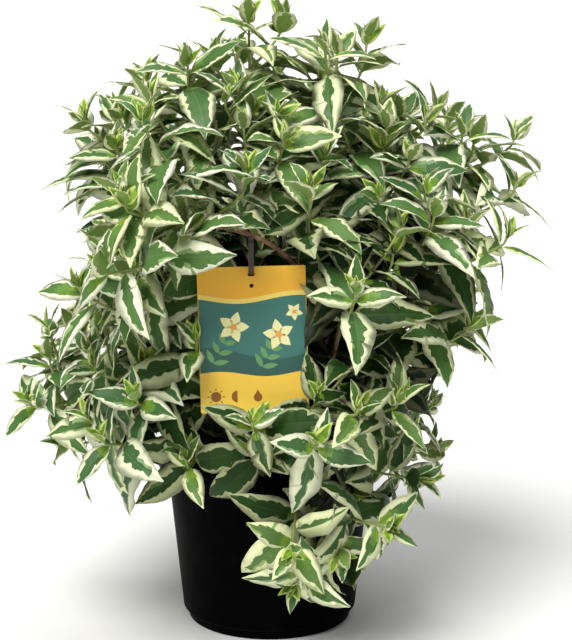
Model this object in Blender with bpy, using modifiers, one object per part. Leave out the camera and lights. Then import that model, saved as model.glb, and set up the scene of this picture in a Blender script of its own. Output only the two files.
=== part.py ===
"""Potted southern bush honeysuckle, a variegated garden form in a round black nursery pot.

A low woody crown in the pot's mix carries a ring of canes. Each cane is one tapering bough that
ends where it enters its mass of foliage. A mass is one body: a stem that goes on from the bough,
shoots that branch from it by a seeded rule, and leaves in opposite pairs, fused to the shoots.
A label card hangs from one bough by a looped tie.

Metres, +Z up. The origin is the centre of the pot's flat underside, and the front faces -Y.
"""

import math
import random

import bmesh
import bpy
from mathutils import Matrix, Vector
from mathutils.bvhtree import BVHTree

PART_NAME = "potted_bush_honeysuckle"

# Touching pieces keep this gap.
GAP = 0.0003
WELD = 0.00001
FUSED_WELD = 0.000001

# Nursery pot, about five litres
POT_HEIGHT = 0.183
POT_SIDES = 32
POT_WALL = 0.0018
POT_FLOOR = 0.0035
FOOT_HEIGHT = 0.011
FOOT_RADIUS = 0.0830
FOOT_SHOULDER_RADIUS = 0.0855
WALL_LOW_RADIUS = 0.0890
WALL_HIGH_RADIUS = 0.1030
BAND_HEIGHT = 0.033
BAND_RADIUS = 0.1120
BAND_SHOULDER = 0.005
LIP_RADIUS = 0.1135
LIP_HEIGHT = 0.004
LIP_ROUND = 0.0010
DRAIN_HOLES = 6
DRAIN_RADIUS = 0.006
DRAIN_RING_RADIUS = 0.058
DRAIN_SIDES = 8

# Potting mix and the woody crown set in it
MIX_EDGE_LEVEL = 0.160
MIX_RISE = 0.004
CROWN_RADIUS = 0.034
CROWN_LEVEL = 0.160
CROWN_DEPTH = 0.020
CROWN_SIDES = 16
CROWN_RINGS = 5

# Canes. A cane leaves the crown square to it, and leans by its tip's own lean.
CANE_FOOT_WIDTH = 0.0078
CANE_ENTRY_WIDTH = 0.0044
CANE_SEGMENTS = 5
CANE_RISE = 0.42
TIP_RUN = 0.36
LEAN_LEVEL = 0.20
LEAN_SHARE = 0.80
FOOT_LEAN_SHARE = 0.62
FOOT_LEAN = math.radians(8)
FOOT_LEAN_MOST = math.radians(52)
# Canes with low tips climb over the pot's lip and arch down.
LOW_FROM = 0.240
LOW_SPAN = 0.110
LOW_RISE = 0.45
LOW_RUN = 0.14
LOW_TIP_LEAN = math.radians(40)
LOW_FOOT_LIFT = math.radians(22)
FOOT_SPACING = 0.0115
FOOT_ROUNDS = 60
SHORTEST_CANE = 0.34
LONGEST_CANE = 0.66
SCAN_STEPS = 60

# Shoots inside a mass, three-sided
STEM_WIDTH = 0.0036
STEM_CLEAR = 0.0004
MEETING_LENGTH = 0.003
SHOOT_WIDTH = 0.0030
SHOOT_TIP_WIDTH = 0.0026
SHOOT_GUARD = 0.0008
STEM_SEGMENTS = 3
ARM_SEGMENTS = 2
SHOOT_SEGMENTS = 2
FORK_PLACE = 0.18
SIDE_SHOOTS = 3
LOWEST_SHOOT = 0.10
HIGHEST_SHOOT = 0.85
SIDE_SHOOT_LONGEST = 0.125
SIDE_SHOOT_SHORTEST = 0.060
SIDE_SHOOT_SPLAY = math.radians(52)
SIDE_SHOOT_LIFT = 0.35
SHORTER = 0.85
SHOOT_TRIES = 4
GOLDEN_ANGLE = math.pi * (3 - math.sqrt(5))

# Leaves, in opposite pairs, each pair turned a quarter from the last
LEAF_LENGTH = 0.090
LEAF_WIDTH = 0.37
LEAF_THICKNESS = 0.020
LEAF_WIDEST = 0.38
LEAF_ROOT = 0.006
LEAF_DROOPS = (0.35, 0.75, 1.15)
LEAF_GUARD = 0.0008
# Each pair, from the tip back: place behind the tip, size, and angle from the shoot
LEAF_PAIRS = (
    (0.005, 0.72, math.radians(50)),
    (0.032, 1.00, math.radians(64)),
    (0.066, 1.05, math.radians(78)),
    (0.108, 1.00, math.radians(90)),
)
LEAFY_SHARE = 0.94
SPLAY_PLAY = 0.12
LENGTH_PLAY = (0.90, 1.06)
FACE_TO_TIP = 0.8
FACE_TO_SKY = 0.7
# Turns tried, in radians, about the leaf's length and sideways
LEAF_TRIES = ((0.0, 0.0), (0.3, 0.3), (-0.3, -0.3), (0.5, 0.6), (-0.5, -0.6))
LEAVES_A_MASS = 18
# A leaf may reach this far past the middle between its mass and the next, where it is clear of it.
SHARED_BORDER = 0.028

# Label card and its tie
CARD_WIDTH = 0.101
CARD_HEIGHT = 0.136
CARD_THICKNESS = 0.0006
CARD_CORNER = 0.0012
CARD_TILT = math.radians(-7)
CARD_LEAN = math.radians(1.5)
CARD_OFF_CENTRE = 0.0
SLOT_WIDTH = 0.0066
SLOT_HEIGHT = 0.0030
SLOT_DROP = 0.0075
SPARE_HOLE_DROP = 0.0180
SPARE_HOLE_RADIUS = 0.0020
TIE_BOUGH = "front_upper"
TIE_BOUGH_ENTRY = 0.93
TIE_PLACE = 0.56
TIE_BOUGH_WIDTH = 0.0048
TIE_PLAY = 0.0008
TIE_WIDTH = 0.0050
TIE_THICKNESS = 0.0009
TIE_DEPTH = 0.0160
TIE_HEIGHT = 0.0390
TIE_STEPS = 8
# The card's face stays in view: leaves keep out of a block in front of it, inset from its edges.
VIEW_INSET = 0.012
VIEW_DEPTH = 0.110

# Each mass of foliage, by the leading tips of its stem and of the stem's fork. A tip has its
# compass angle in degrees, 0 to the right and -90 to the front, its reach from the pot's axis
# and its height.
LEADING_TIPS = {
    "crest_left": ((168, 0.019, 0.559), (180, 0.052, 0.541)),
    "crest_right": ((-16, 0.069, 0.562), (11, 0.098, 0.574)),
    "upper_left": ((-162, 0.085, 0.533), (-134, 0.087, 0.500)),
    "left_shoulder": ((-179, 0.150, 0.500), (-166, 0.152, 0.445)),
    "left_middle": ((-134, 0.155, 0.390), (-153, 0.149, 0.352)),
    "left_low": ((-169, 0.212, 0.256), (-154, 0.183, 0.311)),
    "left_front": ((-131, 0.176, 0.284), (-117, 0.166, 0.198)),
    "front_top": ((-108, 0.057, 0.511), (-60, 0.104, 0.476)),
    "front_upper": ((-115, 0.172, 0.434), (-98, 0.153, 0.468)),
    "front_right": ((-62, 0.170, 0.378), (-76, 0.154, 0.440)),
    "right_shoulder": ((-12, 0.128, 0.508), (-30, 0.126, 0.475)),
    "right_outer": ((3, 0.203, 0.476), (-2, 0.176, 0.498)),
    "right_middle": ((-22, 0.170, 0.413), (-45, 0.164, 0.388)),
    "right_low": ((-14, 0.136, 0.328), (-43, 0.128, 0.281)),
    "right_spray": ((-12, 0.134, 0.180),),
    "front_skirt": ((-76, 0.188, 0.274), (-94, 0.167, 0.211)),
    "right_skirt": ((-67, 0.160, 0.126), (-59, 0.140, 0.172)),
    "back_crest": ((83, 0.077, 0.540), (50, 0.108, 0.507)),
    "back_left_high": ((138, 0.137, 0.482), (165, 0.152, 0.417)),
    "back_right_high": ((36, 0.155, 0.462), (60, 0.159, 0.455)),
    "back_left": ((152, 0.176, 0.296), (130, 0.172, 0.372)),
    "back_right": ((30, 0.166, 0.345), (52, 0.178, 0.255)),
    "back_middle": ((92, 0.181, 0.409), (72, 0.184, 0.363)),
    "back_low": ((86, 0.179, 0.233), (118, 0.177, 0.246)),
}
# Degrees by which a cane's foot is turned round the crown from its tip
FOOT_TURNS = {"front_upper": 50}
# The bough that holds the card sweeps to the left: the compass angle and lean of its tip, in
# degrees, and the share of its span over which it bends to them
TIP_HEADINGS = {"front_upper": (178, 86, 0.55)}
# A mass's heart lies this share of the way from the middle of the plant to its leading tips.
HEART_SHARE = 0.80
PLANT_MIDDLE = Vector((0.0, 0.0, 0.30))

COLOURS = {
    "pot": (0.012, 0.012, 0.013),
    "mix": (0.045, 0.030, 0.020),
    "bark": (0.230, 0.120, 0.060),
    "foliage": (0.210, 0.330, 0.120),
    "card": (0.850, 0.480, 0.060),
    "tie": (0.045, 0.025, 0.018),
}


def clear_scene():
    """Remove the objects that the file opened with."""
    for existing in list(bpy.data.objects):
        bpy.data.objects.remove(existing, do_unlink=True)


def make_collection(name):
    """Add a collection to the scene."""
    made = bpy.data.collections.new(name)
    bpy.context.scene.collection.children.link(made)
    return made


def make_material(name, roughness):
    """Principled material in the part's colour."""
    material = bpy.data.materials.new(name)
    material.use_nodes = True
    shader = material.node_tree.nodes["Principled BSDF"]
    shader.inputs["Base Color"].default_value = (*COLOURS[name], 1.0)
    shader.inputs["Roughness"].default_value = roughness
    shader.inputs["Metallic"].default_value = 0.0
    return material


def add_object(name, data, collection, material=None):
    """Link new object data under a name."""
    made = bpy.data.objects.new(name, data)
    collection.objects.link(made)
    if material and not data.materials:
        data.materials.append(material)
    return made


def evaluated_mesh(source, name, weld=WELD):
    """The object's mesh as its modifiers leave it, with doubled points welded."""
    bpy.context.view_layer.update()
    graph = bpy.context.evaluated_depsgraph_get()
    mesh = bpy.data.meshes.new_from_object(source.evaluated_get(graph))
    mesh.name = name
    bm = bmesh.new()
    bm.from_mesh(mesh)
    bmesh.ops.remove_doubles(bm, verts=bm.verts, dist=weld)
    bm.to_mesh(mesh)
    bm.free()
    return mesh


def shade_round(mesh, sharp_degrees=40):
    """Smooth shading that keeps the sharp edges."""
    mesh.shade_smooth()
    mesh.set_sharp_from_angle(angle=math.radians(sharp_degrees))


def turned(name, profile, sides, collection, material):
    """A turned shape: a profile of (radius, height), top to bottom down its outer side."""
    mesh = bpy.data.meshes.new(name)
    edges = [(i, i + 1) for i in range(len(profile) - 1)]
    mesh.from_pydata([(radius, 0.0, height) for radius, height in profile], edges, [])
    made = add_object(name, mesh, collection, material)
    screw = made.modifiers.new("turn", "SCREW")
    screw.steps = sides
    screw.render_steps = sides
    screw.use_merge_vertices = True
    screw.merge_threshold = WELD
    return made


def fix_modifiers(target):
    """Replace an object's mesh by what its modifiers make, and drop the modifiers."""
    mesh = evaluated_mesh(target, target.name)
    target.modifiers.clear()
    target.data = mesh
    shade_round(mesh)
    return target


def build_pot(parts, cutters, material):
    """Thin-walled pot with a stepped foot, a wider band under its lip and drain holes."""
    band_bottom = POT_HEIGHT - BAND_HEIGHT
    lip_bottom = POT_HEIGHT - LIP_HEIGHT
    profile = [
        (0.0, POT_FLOOR),
        (FOOT_RADIUS - POT_WALL, POT_FLOOR),
        (FOOT_SHOULDER_RADIUS - POT_WALL, FOOT_HEIGHT),
        (WALL_LOW_RADIUS - POT_WALL, FOOT_HEIGHT + POT_WALL),
        (WALL_HIGH_RADIUS - POT_WALL, band_bottom),
        (BAND_RADIUS - POT_WALL, band_bottom + BAND_SHOULDER),
        (BAND_RADIUS - POT_WALL, POT_HEIGHT - LIP_ROUND),
        (BAND_RADIUS - POT_WALL + LIP_ROUND, POT_HEIGHT),
        (LIP_RADIUS - LIP_ROUND, POT_HEIGHT),
        (LIP_RADIUS, POT_HEIGHT - LIP_ROUND),
        (LIP_RADIUS, lip_bottom),
        (BAND_RADIUS, lip_bottom - LIP_ROUND),
        (BAND_RADIUS, band_bottom + BAND_SHOULDER - POT_WALL),
        (WALL_HIGH_RADIUS, band_bottom - POT_WALL),
        (WALL_LOW_RADIUS, FOOT_HEIGHT),
        (FOOT_SHOULDER_RADIUS, FOOT_HEIGHT - POT_WALL),
        (FOOT_RADIUS, 0.0),
        (0.0, 0.0),
    ]
    pot = turned("pot", profile, POT_SIDES, parts, material)
    for index in range(DRAIN_HOLES):
        angle = 2 * math.pi * (index + 0.5) / DRAIN_HOLES
        bm = bmesh.new()
        bmesh.ops.create_cone(
            bm, cap_ends=True, segments=DRAIN_SIDES, radius1=DRAIN_RADIUS, radius2=DRAIN_RADIUS,
            depth=4 * POT_FLOOR,
        )
        mesh = bpy.data.meshes.new(f"drain_{index + 1}")
        bm.to_mesh(mesh)
        bm.free()
        cutter = add_object(mesh.name, mesh, cutters)
        cutter.location = (
            DRAIN_RING_RADIUS * math.cos(angle), DRAIN_RING_RADIUS * math.sin(angle), 0.0,
        )
        cutter.hide_render = True
        cutter.display_type = "WIRE"
    cut = pot.modifiers.new("drains", "BOOLEAN")
    cut.operation = "DIFFERENCE"
    cut.operand_type = "COLLECTION"
    cut.collection = cutters
    return fix_modifiers(pot)


def build_mix(parts, material):
    """Potting mix that fills the pot, with a socket for the crown."""
    band_bottom = POT_HEIGHT - BAND_HEIGHT
    inset = POT_WALL + GAP
    socket = CROWN_RADIUS + GAP
    profile = [
        (0.0, CROWN_LEVEL - CROWN_DEPTH - GAP),
        (socket, CROWN_LEVEL - CROWN_DEPTH - GAP),
        (socket, MIX_EDGE_LEVEL + MIX_RISE),
        (0.5 * (socket + BAND_RADIUS), MIX_EDGE_LEVEL + 0.5 * MIX_RISE),
        (BAND_RADIUS - inset, MIX_EDGE_LEVEL),
        (BAND_RADIUS - inset, band_bottom + BAND_SHOULDER + GAP),
        (WALL_HIGH_RADIUS - inset, band_bottom + GAP),
        (WALL_LOW_RADIUS - inset, FOOT_HEIGHT + POT_WALL + GAP),
        (FOOT_SHOULDER_RADIUS - inset, FOOT_HEIGHT + GAP),
        (FOOT_RADIUS - inset, POT_FLOOR + GAP),
        (0.0, POT_FLOOR + GAP),
    ]
    return fix_modifiers(turned("potting_mix", profile, POT_SIDES, parts, material))


def build_crown(parts, material):
    """Woody crown: a dome over a short straight foot."""
    profile = [(0.0, CROWN_LEVEL + CROWN_RADIUS)]
    for ring in range(1, CROWN_RINGS + 1):
        lean = 0.5 * math.pi * ring / CROWN_RINGS
        profile.append((CROWN_RADIUS * math.sin(lean), CROWN_LEVEL + CROWN_RADIUS * math.cos(lean)))
    profile.append((CROWN_RADIUS, CROWN_LEVEL - CROWN_DEPTH))
    profile.append((0.0, CROWN_LEVEL - CROWN_DEPTH))
    return fix_modifiers(turned("crown_stem", profile, CROWN_SIDES, parts, material))


def direction(azimuth, lean):
    """Unit vector that leans from upright towards a compass angle."""
    return Vector(
        (math.sin(lean) * math.cos(azimuth), math.sin(lean) * math.sin(azimuth), math.cos(lean))
    )


def tip_point(tip):
    """A leading tip's place."""
    azimuth, reach, height = tip
    angle = math.radians(azimuth)
    return Vector((reach * math.cos(angle), reach * math.sin(angle), height))


def lowness(tip):
    """From 0 for a tip well above the pot's lip to 1 for one that hangs in front of the pot."""
    return min(max((LOW_FROM - tip[2]) / LOW_SPAN, 0.0), 1.0)


def tip_direction(tip):
    """The way a leading tip points: further over the wider and the lower it is."""
    azimuth, reach, height = tip
    lean = LEAN_SHARE * math.atan2(reach, height - LEAN_LEVEL) + LOW_TIP_LEAN * lowness(tip)
    return direction(math.radians(azimuth), lean)


class Route:
    """A smooth path from one place and heading to another, as a cubic curve."""

    def __init__(self, start, heading, end, arrival, rise=CANE_RISE, run=TIP_RUN):
        span = (end - start).length
        self.points = (start, start + heading * rise * span, end - arrival * run * span, end)

    def at(self, place):
        """The point at a share of the path."""
        a, b, c, d = self.points
        rest = 1 - place
        return (
            a * rest**3 + b * (3 * rest * rest * place) + c * (3 * rest * place * place) + d * place**3
        )

    def heading(self, place):
        """The unit tangent at a share of the path."""
        a, b, c, d = self.points
        rest = 1 - place
        slope = (b - a) * rest**2 + (c - b) * (2 * rest * place) + (d - c) * place**2
        return slope.normalized()

    def beyond(self, place, distance):
        """The share of the path that lies a distance past another."""
        a, b, c, d = self.points
        rest = 1 - place
        slope = (b - a) * rest**2 + (c - b) * (2 * rest * place) + (d - c) * place**2
        return place + distance / (3 * slope.length)

    def stretch(self, start, end, segments):
        """Points along part of the path."""
        step = (end - start) / segments
        return [self.at(start + step * index) for index in range(segments + 1)]

    def meeting(self, place, end, segments):
        """Points along part of the path, with a short piece first that sets how its end faces."""
        first = self.beyond(place, MEETING_LENGTH if end > place else -MEETING_LENGTH)
        return [self.at(place), *self.stretch(first, end, segments)]


def crown_headings():
    """The way each cane leaves the crown: towards its tip, with room for its neighbours."""
    headings = {}
    for name, tips in LEADING_TIPS.items():
        azimuth, reach, height = tips[0]
        lean = FOOT_LEAN_SHARE * math.atan2(reach, height - LEAN_LEVEL) + FOOT_LEAN
        lean = min(lean, FOOT_LEAN_MOST - LOW_FOOT_LIFT * lowness(tips[0]))
        headings[name] = direction(math.radians(azimuth + FOOT_TURNS.get(name, 0)), lean)
    for _ in range(FOOT_ROUNDS):
        pushes = {name: Vector() for name in headings}
        for name, heading in headings.items():
            for other, beside in headings.items():
                apart = (heading - beside).length * CROWN_RADIUS
                if name != other and apart < FOOT_SPACING:
                    pushes[name] += (heading - beside) * (0.5 * (FOOT_SPACING - apart) / apart)
        for name, push in pushes.items():
            headings[name] = (headings[name] + push).normalized()
    return headings


CROWN_HEADINGS = {}


def cane_route(name):
    """A cane's whole path, from the crown to the leading tip of its mass."""
    if not CROWN_HEADINGS:
        CROWN_HEADINGS.update(crown_headings())
    tip = LEADING_TIPS[name][0]
    heading = CROWN_HEADINGS[name]
    foot = Vector((0.0, 0.0, CROWN_LEVEL)) + heading * (CROWN_RADIUS + GAP)
    arrival = tip_direction(tip)
    rise = CANE_RISE + LOW_RISE * lowness(tip)
    run = TIP_RUN + LOW_RUN * lowness(tip)
    if name in TIP_HEADINGS:
        azimuth, lean, run = TIP_HEADINGS[name]
        arrival = direction(math.radians(azimuth), math.radians(lean))
    return Route(foot, heading, tip_point(tip), arrival, rise, run)


def hearts():
    """The middle of each mass's own space."""
    found = {}
    for name, tips in LEADING_TIPS.items():
        middle = sum((tip_point(tip) for tip in tips), Vector()) / len(tips)
        found[name] = PLANT_MIDDLE.lerp(middle, HEART_SHARE)
    return found


def space_depth(point, name, centres):
    """How far a point lies inside a mass's own space: nearer its heart than any other."""
    own = centres[name]
    depths = []
    for other, centre in centres.items():
        if other != name:
            side = (point - centre).length_squared - (point - own).length_squared
            depths.append(side / (2 * (own - centre).length))
    return min(depths)


def entry_place(route, name, centres):
    """Share of the path at which a cane enters its mass's own space for good."""
    for index in range(SCAN_STEPS, -1, -1):
        place = index / SCAN_STEPS
        if space_depth(route.at(place), name, centres) < STEM_WIDTH:
            return min(max(place + 1 / SCAN_STEPS, SHORTEST_CANE), LONGEST_CANE)
    return SHORTEST_CANE


def entry_places():
    """Every cane's entry into its mass. The bough that holds the card runs on past it."""
    centres = hearts()
    places = {name: entry_place(cane_route(name), name, centres) for name in LEADING_TIPS}
    places[TIE_BOUGH] = TIE_BOUGH_ENTRY
    return places


def bough_points(name):
    """The drawn points of a cane, from the crown to where it enters its mass."""
    return cane_route(name).meeting(entry_places()[name], 0.0, CANE_SEGMENTS)[::-1]


def tie_seat():
    """Where the tie hangs: the middle of its bough's last long stretch, and the bough's heading."""
    start, end = bough_points(TIE_BOUGH)[-3:-1]
    return start.lerp(end, TIE_PLACE), (end - start).normalized()


def tie_top():
    """Height of the tie's highest point, with its band clear of the slanting bough."""
    seat, heading = tie_seat()
    bough_half = 0.5 * TIE_BOUGH_WIDTH / math.hypot(heading.x, heading.y)
    climb = 0.5 * TIE_WIDTH * abs(heading.z / heading.x)
    return seat.z + bough_half + climb + TIE_PLAY + TIE_THICKNESS


def tube(name, points, widths, collection, material=None, section=None):
    """A tapering limb along a path: six-sided, or with a section's own outline."""
    curve = bpy.data.curves.new(name, "CURVE")
    curve.dimensions = "3D"
    curve.use_fill_caps = True
    if section:
        curve.bevel_mode = "OBJECT"
        curve.bevel_object = section
    else:
        curve.bevel_depth = 1.0
        curve.bevel_resolution = 1
    spline = curve.splines.new("POLY")
    spline.points.add(len(points) - 1)
    for index, point in enumerate(points):
        share = index / (len(points) - 1)
        spline.points[index].co = (*point, 1.0)
        spline.points[index].radius = 0.5 * (widths[0] + (widths[1] - widths[0]) * share)
    source = bpy.data.objects.new(name, curve)
    collection.objects.link(source)
    mesh = evaluated_mesh(source, name)
    bpy.data.objects.remove(source)
    bpy.data.curves.remove(curve)
    return add_object(name, mesh, collection, material)


def twig_section(cutters):
    """Three-sided outline that the shoots are swept with."""
    curve = bpy.data.curves.new("twig_section", "CURVE")
    curve.dimensions = "2D"
    spline = curve.splines.new("POLY")
    spline.points.add(2)
    spline.use_cyclic_u = True
    for index in range(3):
        angle = -2 * math.pi * index / 3
        spline.points[index].co = (math.cos(angle), math.sin(angle), 0.0, 1.0)
    guide = add_object("twig_section", curve, cutters)
    guide.hide_render = True
    guide.display_type = "WIRE"
    return guide


def build_bough(name, parts, material):
    """One cane, from the crown to where it enters its mass."""
    bough = tube(f"{name}_bough", bough_points(name), (CANE_FOOT_WIDTH, CANE_ENTRY_WIDTH), parts, material)
    shade_round(bough.data)
    return bough


def rounded_outline(width, height, corner, steps=3):
    """Outline of a rectangle with round corners, anticlockwise."""
    points = []
    for quarter in range(4):
        across = (width / 2 - corner) * (1 if quarter in (0, 3) else -1)
        up = (height / 2 - corner) * (1 if quarter in (0, 1) else -1)
        for step in range(steps + 1):
            angle = 0.5 * math.pi * (quarter + step / steps)
            points.append((across + corner * math.cos(angle), up + corner * math.sin(angle)))
    return points


def circle_outline(radius, sides):
    """Outline of a round hole."""
    turns = [2 * math.pi * index / sides for index in range(sides)]
    return [(radius * math.cos(turn), radius * math.sin(turn)) for turn in turns]


def flat_solid(name, outlines, thickness, collection, material):
    """A flat outline with its holes, given a thickness."""
    curve = bpy.data.curves.new(name, "CURVE")
    curve.dimensions = "2D"
    curve.fill_mode = "BOTH"
    curve.extrude = 0.5 * thickness
    for points in outlines:
        spline = curve.splines.new("POLY")
        spline.points.add(len(points) - 1)
        spline.use_cyclic_u = True
        for index, (across, up) in enumerate(points):
            spline.points[index].co = (across, up, 0.0, 1.0)
    source = bpy.data.objects.new(name, curve)
    collection.objects.link(source)
    mesh = evaluated_mesh(source, name)
    bpy.data.objects.remove(source)
    bpy.data.curves.remove(curve)
    return add_object(name, mesh, collection, material)


def shifted(points, across, up):
    """An outline moved in its plane."""
    return [(x + across, y + up) for x, y in points]


def card_frame():
    """Place and tilt of the card's slot, whose upper edge hangs on the bottom of the tie."""
    seat = tie_seat()[0]
    slot_top = tie_top() - TIE_HEIGHT + TIE_THICKNESS + TIE_PLAY
    slot = Vector((seat.x, seat.y, slot_top - 0.5 * SLOT_HEIGHT))
    return Matrix.Translation(slot) @ Matrix.Rotation(math.radians(90) + CARD_TILT, 4, "X")


def build_card(parts, material):
    """Label card with a slot for its tie and a spare punched hole."""
    body = shifted(
        rounded_outline(CARD_WIDTH, CARD_HEIGHT, CARD_CORNER),
        CARD_OFF_CENTRE, SLOT_DROP - 0.5 * CARD_HEIGHT,
    )
    slot = rounded_outline(SLOT_WIDTH, SLOT_HEIGHT, 0.45 * SLOT_HEIGHT)
    spare = shifted(circle_outline(SPARE_HOLE_RADIUS, 12), 0.0, SLOT_DROP - SPARE_HOLE_DROP)
    card = flat_solid("label_card", (body, slot, spare), CARD_THICKNESS, parts, material)
    card.matrix_world = card_frame() @ Matrix.Rotation(CARD_LEAN, 4, "Z")
    return card


def oval(width, height, steps):
    """Upright oval with round ends, from its lowest point."""
    radius = 0.5 * width
    straight = 0.5 * height - radius
    points = []
    for end in (-1, 1):
        for step in range(steps + 1):
            angle = end * 0.5 * math.pi + math.pi * (step / steps - 0.5)
            points.append((radius * math.cos(angle), end * straight + radius * math.sin(angle)))
    return points


def build_tie(parts, material):
    """Looped tie: a flat band through the card's slot and over its bough."""
    outer = oval(TIE_DEPTH, TIE_HEIGHT, TIE_STEPS)
    inner = oval(TIE_DEPTH - 2 * TIE_THICKNESS, TIE_HEIGHT - 2 * TIE_THICKNESS, TIE_STEPS)
    tie = flat_solid("label_tie", (outer, inner), TIE_WIDTH, parts, material)
    seat = tie_seat()[0]
    stand = Matrix.Rotation(math.radians(90), 4, "Z") @ Matrix.Rotation(math.radians(90), 4, "X")
    tie.matrix_world = Matrix.Translation((seat.x, seat.y, tie_top() - 0.5 * TIE_HEIGHT)) @ stand
    shade_round(tie.data, 30)
    return tie


def leaf_mesh(name, droop, guard=0.0):
    """A leaf of eight faces and unit length: a small sphere drawn out, folded and bent.

    It runs along +X from its root, with its upper face to +Z. The sphere's six points become an
    upright edge at the root, the two sides, the crease between them and the tip. A guard makes
    the leaf a little fatter all round, for the tests that keep it clear.
    """
    half_width = 0.5 * LEAF_WIDTH + guard
    bm = bmesh.new()
    bmesh.ops.create_uvsphere(bm, u_segments=4, v_segments=2, radius=1.0)
    for vertex in bm.verts:
        side, up, end = vertex.co
        if end > 0.5:
            along, across, rise = 1.0 + guard, 0.0, 0.0
        elif abs(side) > 0.5:
            along, across, rise = LEAF_WIDEST, side * half_width, -guard
        elif up > 0.5:
            along, across, rise = LEAF_WIDEST, 0.0, LEAF_THICKNESS + guard
        else:
            along, across, rise = 0.0, 0.0, 0.5 * LEAF_ROOT + guard
            if end > -0.5:
                rise = -rise
        angle = droop * along
        vertex.co = (
            math.sin(angle) / droop + rise * math.sin(angle),
            across,
            (math.cos(angle) - 1) / droop + rise * math.cos(angle),
        )
    mesh = bpy.data.meshes.new(name)
    bm.to_mesh(mesh)
    bm.free()
    return mesh


class Line:
    """A shoot as drawn: straight stretches between points."""

    def __init__(self, points):
        self.points = points
        self.length = sum((end - start).length for start, end in zip(points, points[1:]))

    def behind_tip(self, distance):
        """The point a distance back from the tip, and the heading there."""
        for end, start in zip(self.points[::-1], self.points[-2::-1]):
            stretch = (end - start).length
            if distance <= stretch:
                return end.lerp(start, distance / stretch), (end - start).normalized()
            distance -= stretch
        return self.points[0], (self.points[1] - self.points[0]).normalized()


class Growth:
    """What grows and what it keeps clear of: the solids, the masses' spaces and one another."""

    def __init__(self, solids, centres):
        self.centres = centres
        self.placed = []
        points = []
        faces = []
        for solid in solids:
            start = len(points)
            points += [solid.matrix_world @ vertex.co for vertex in solid.data.vertices]
            faces += [[start + index for index in face.vertices] for face in solid.data.polygons]
        self.solids = BVHTree.FromPolygons(points, faces)

    def allows(self, mesh, placing, name, friends=None):
        """Whether a placed mesh keeps to its mass's space and is clear of all but its friends."""
        points, tree = placed_tree(mesh, placing)
        if any(space_depth(point, name, self.centres) < -SHARED_BORDER for point in points):
            return False
        if tree.overlap(self.solids):
            return False
        middle, reach = ball_round(points)
        for other in self.placed:
            apart = (middle - other["middle"]).length
            own = other["name"] == name and (friends is None or other["node"] in friends)
            if apart < reach + other["reach"] and not own and tree.overlap(other["tree"]):
                return False
        return True

    def keep(self, mesh, placing, name, node=None):
        """Remember a placed mesh, so that what comes later keeps clear of it."""
        points, tree = placed_tree(mesh, placing)
        middle, reach = ball_round(points)
        self.placed.append(
            {"name": name, "node": node, "tree": tree, "middle": middle, "reach": reach}
        )


def placed_tree(mesh, placing):
    """A placed mesh's points, and the tree that finds what it cuts."""
    points = [placing @ vertex.co for vertex in mesh.vertices]
    return points, BVHTree.FromPolygons(points, [tuple(face.vertices) for face in mesh.polygons])


def ball_round(points):
    """Middle and reach of a ball round some points."""
    middle = sum(points, Vector()) / len(points)
    return middle, max((point - middle).length for point in points)


class Mass:
    """One mass of foliage while it grows."""

    def __init__(self, name, parts, growth, section, leaf_forms, material):
        self.name = name
        self.parts = parts
        self.growth = growth
        self.section = section
        self.leaf_forms = leaf_forms
        self.material = material
        self.pieces = make_collection(f"{name}_pieces")
        self.shoots = []
        self.leaf_count = 0
        self.rng = random.Random(name)

    def add_shoot(self, points, widths, label, turn):
        """Sweep a shoot through some points, unless it would leave the space or touch."""
        shoot = tube(f"{self.name}_{label}", points, widths, self.pieces, None, self.section)
        if label != "stem":
            wider = [width + 2 * SHOOT_GUARD for width in widths]
            guard = tube("shoot_guard", points, wider, self.pieces, None, self.section)
            allowed = self.growth.allows(guard.data, Matrix(), self.name)
            bpy.data.objects.remove(guard)
            if not allowed:
                bpy.data.objects.remove(shoot)
                return False
        self.growth.keep(shoot.data, Matrix(), self.name, label)
        self.shoots.append((Line(points), turn, label))
        return True

    def add_leaf(self, node, shoot, root, heading, face_up, length, form):
        """Place a leaf on a shoot, turned until it fits, or leave it out."""
        mesh, guard = self.leaf_forms[form]
        for roll, swing in LEAF_TRIES:
            along = heading.copy()
            upper = (face_up - along * face_up.dot(along)).normalized()
            upper.rotate(Matrix.Rotation(roll, 3, along))
            along.rotate(Matrix.Rotation(swing, 3, upper))
            placing = Matrix((along, upper.cross(along), upper)).transposed().to_4x4()
            placing.translation = root
            placing = placing @ Matrix.Scale(length, 4)
            if self.growth.allows(guard, placing, self.name, (node, shoot)):
                leaf = bpy.data.objects.new(f"{self.name}_leaf", mesh)
                self.pieces.objects.link(leaf)
                leaf.matrix_world = placing
                self.growth.keep(mesh, placing, self.name, node)
                self.leaf_count += 1
                return

    def add_pair(self, shoot_index, pair):
        """One opposite pair of leaves on one shoot, as far back from its tip as the pair's row says."""
        line, turn, shoot = self.shoots[shoot_index]
        behind, size, splay = LEAF_PAIRS[pair]
        if behind > line.length * LEAFY_SHARE or self.leaf_count >= LEAVES_A_MASS:
            return
        root, axis = line.behind_tip(behind)
        side = axis.orthogonal().normalized()
        side.rotate(Matrix.Rotation(turn + 0.5 * math.pi * pair, 3, axis))
        form = min(pair, len(self.leaf_forms) - 1)
        for sign in (1, -1):
            spread = splay + self.rng.uniform(-SPLAY_PLAY, SPLAY_PLAY)
            heading = axis * math.cos(spread) + side * (sign * math.sin(spread))
            face_up = axis * FACE_TO_TIP + Vector((0.0, 0.0, FACE_TO_SKY))
            leaf_length = LEAF_LENGTH * size * self.rng.uniform(*LENGTH_PLAY)
            node = (shoot_index, pair)
            self.add_leaf(node, shoot, root, heading, face_up, leaf_length, form)


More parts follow.
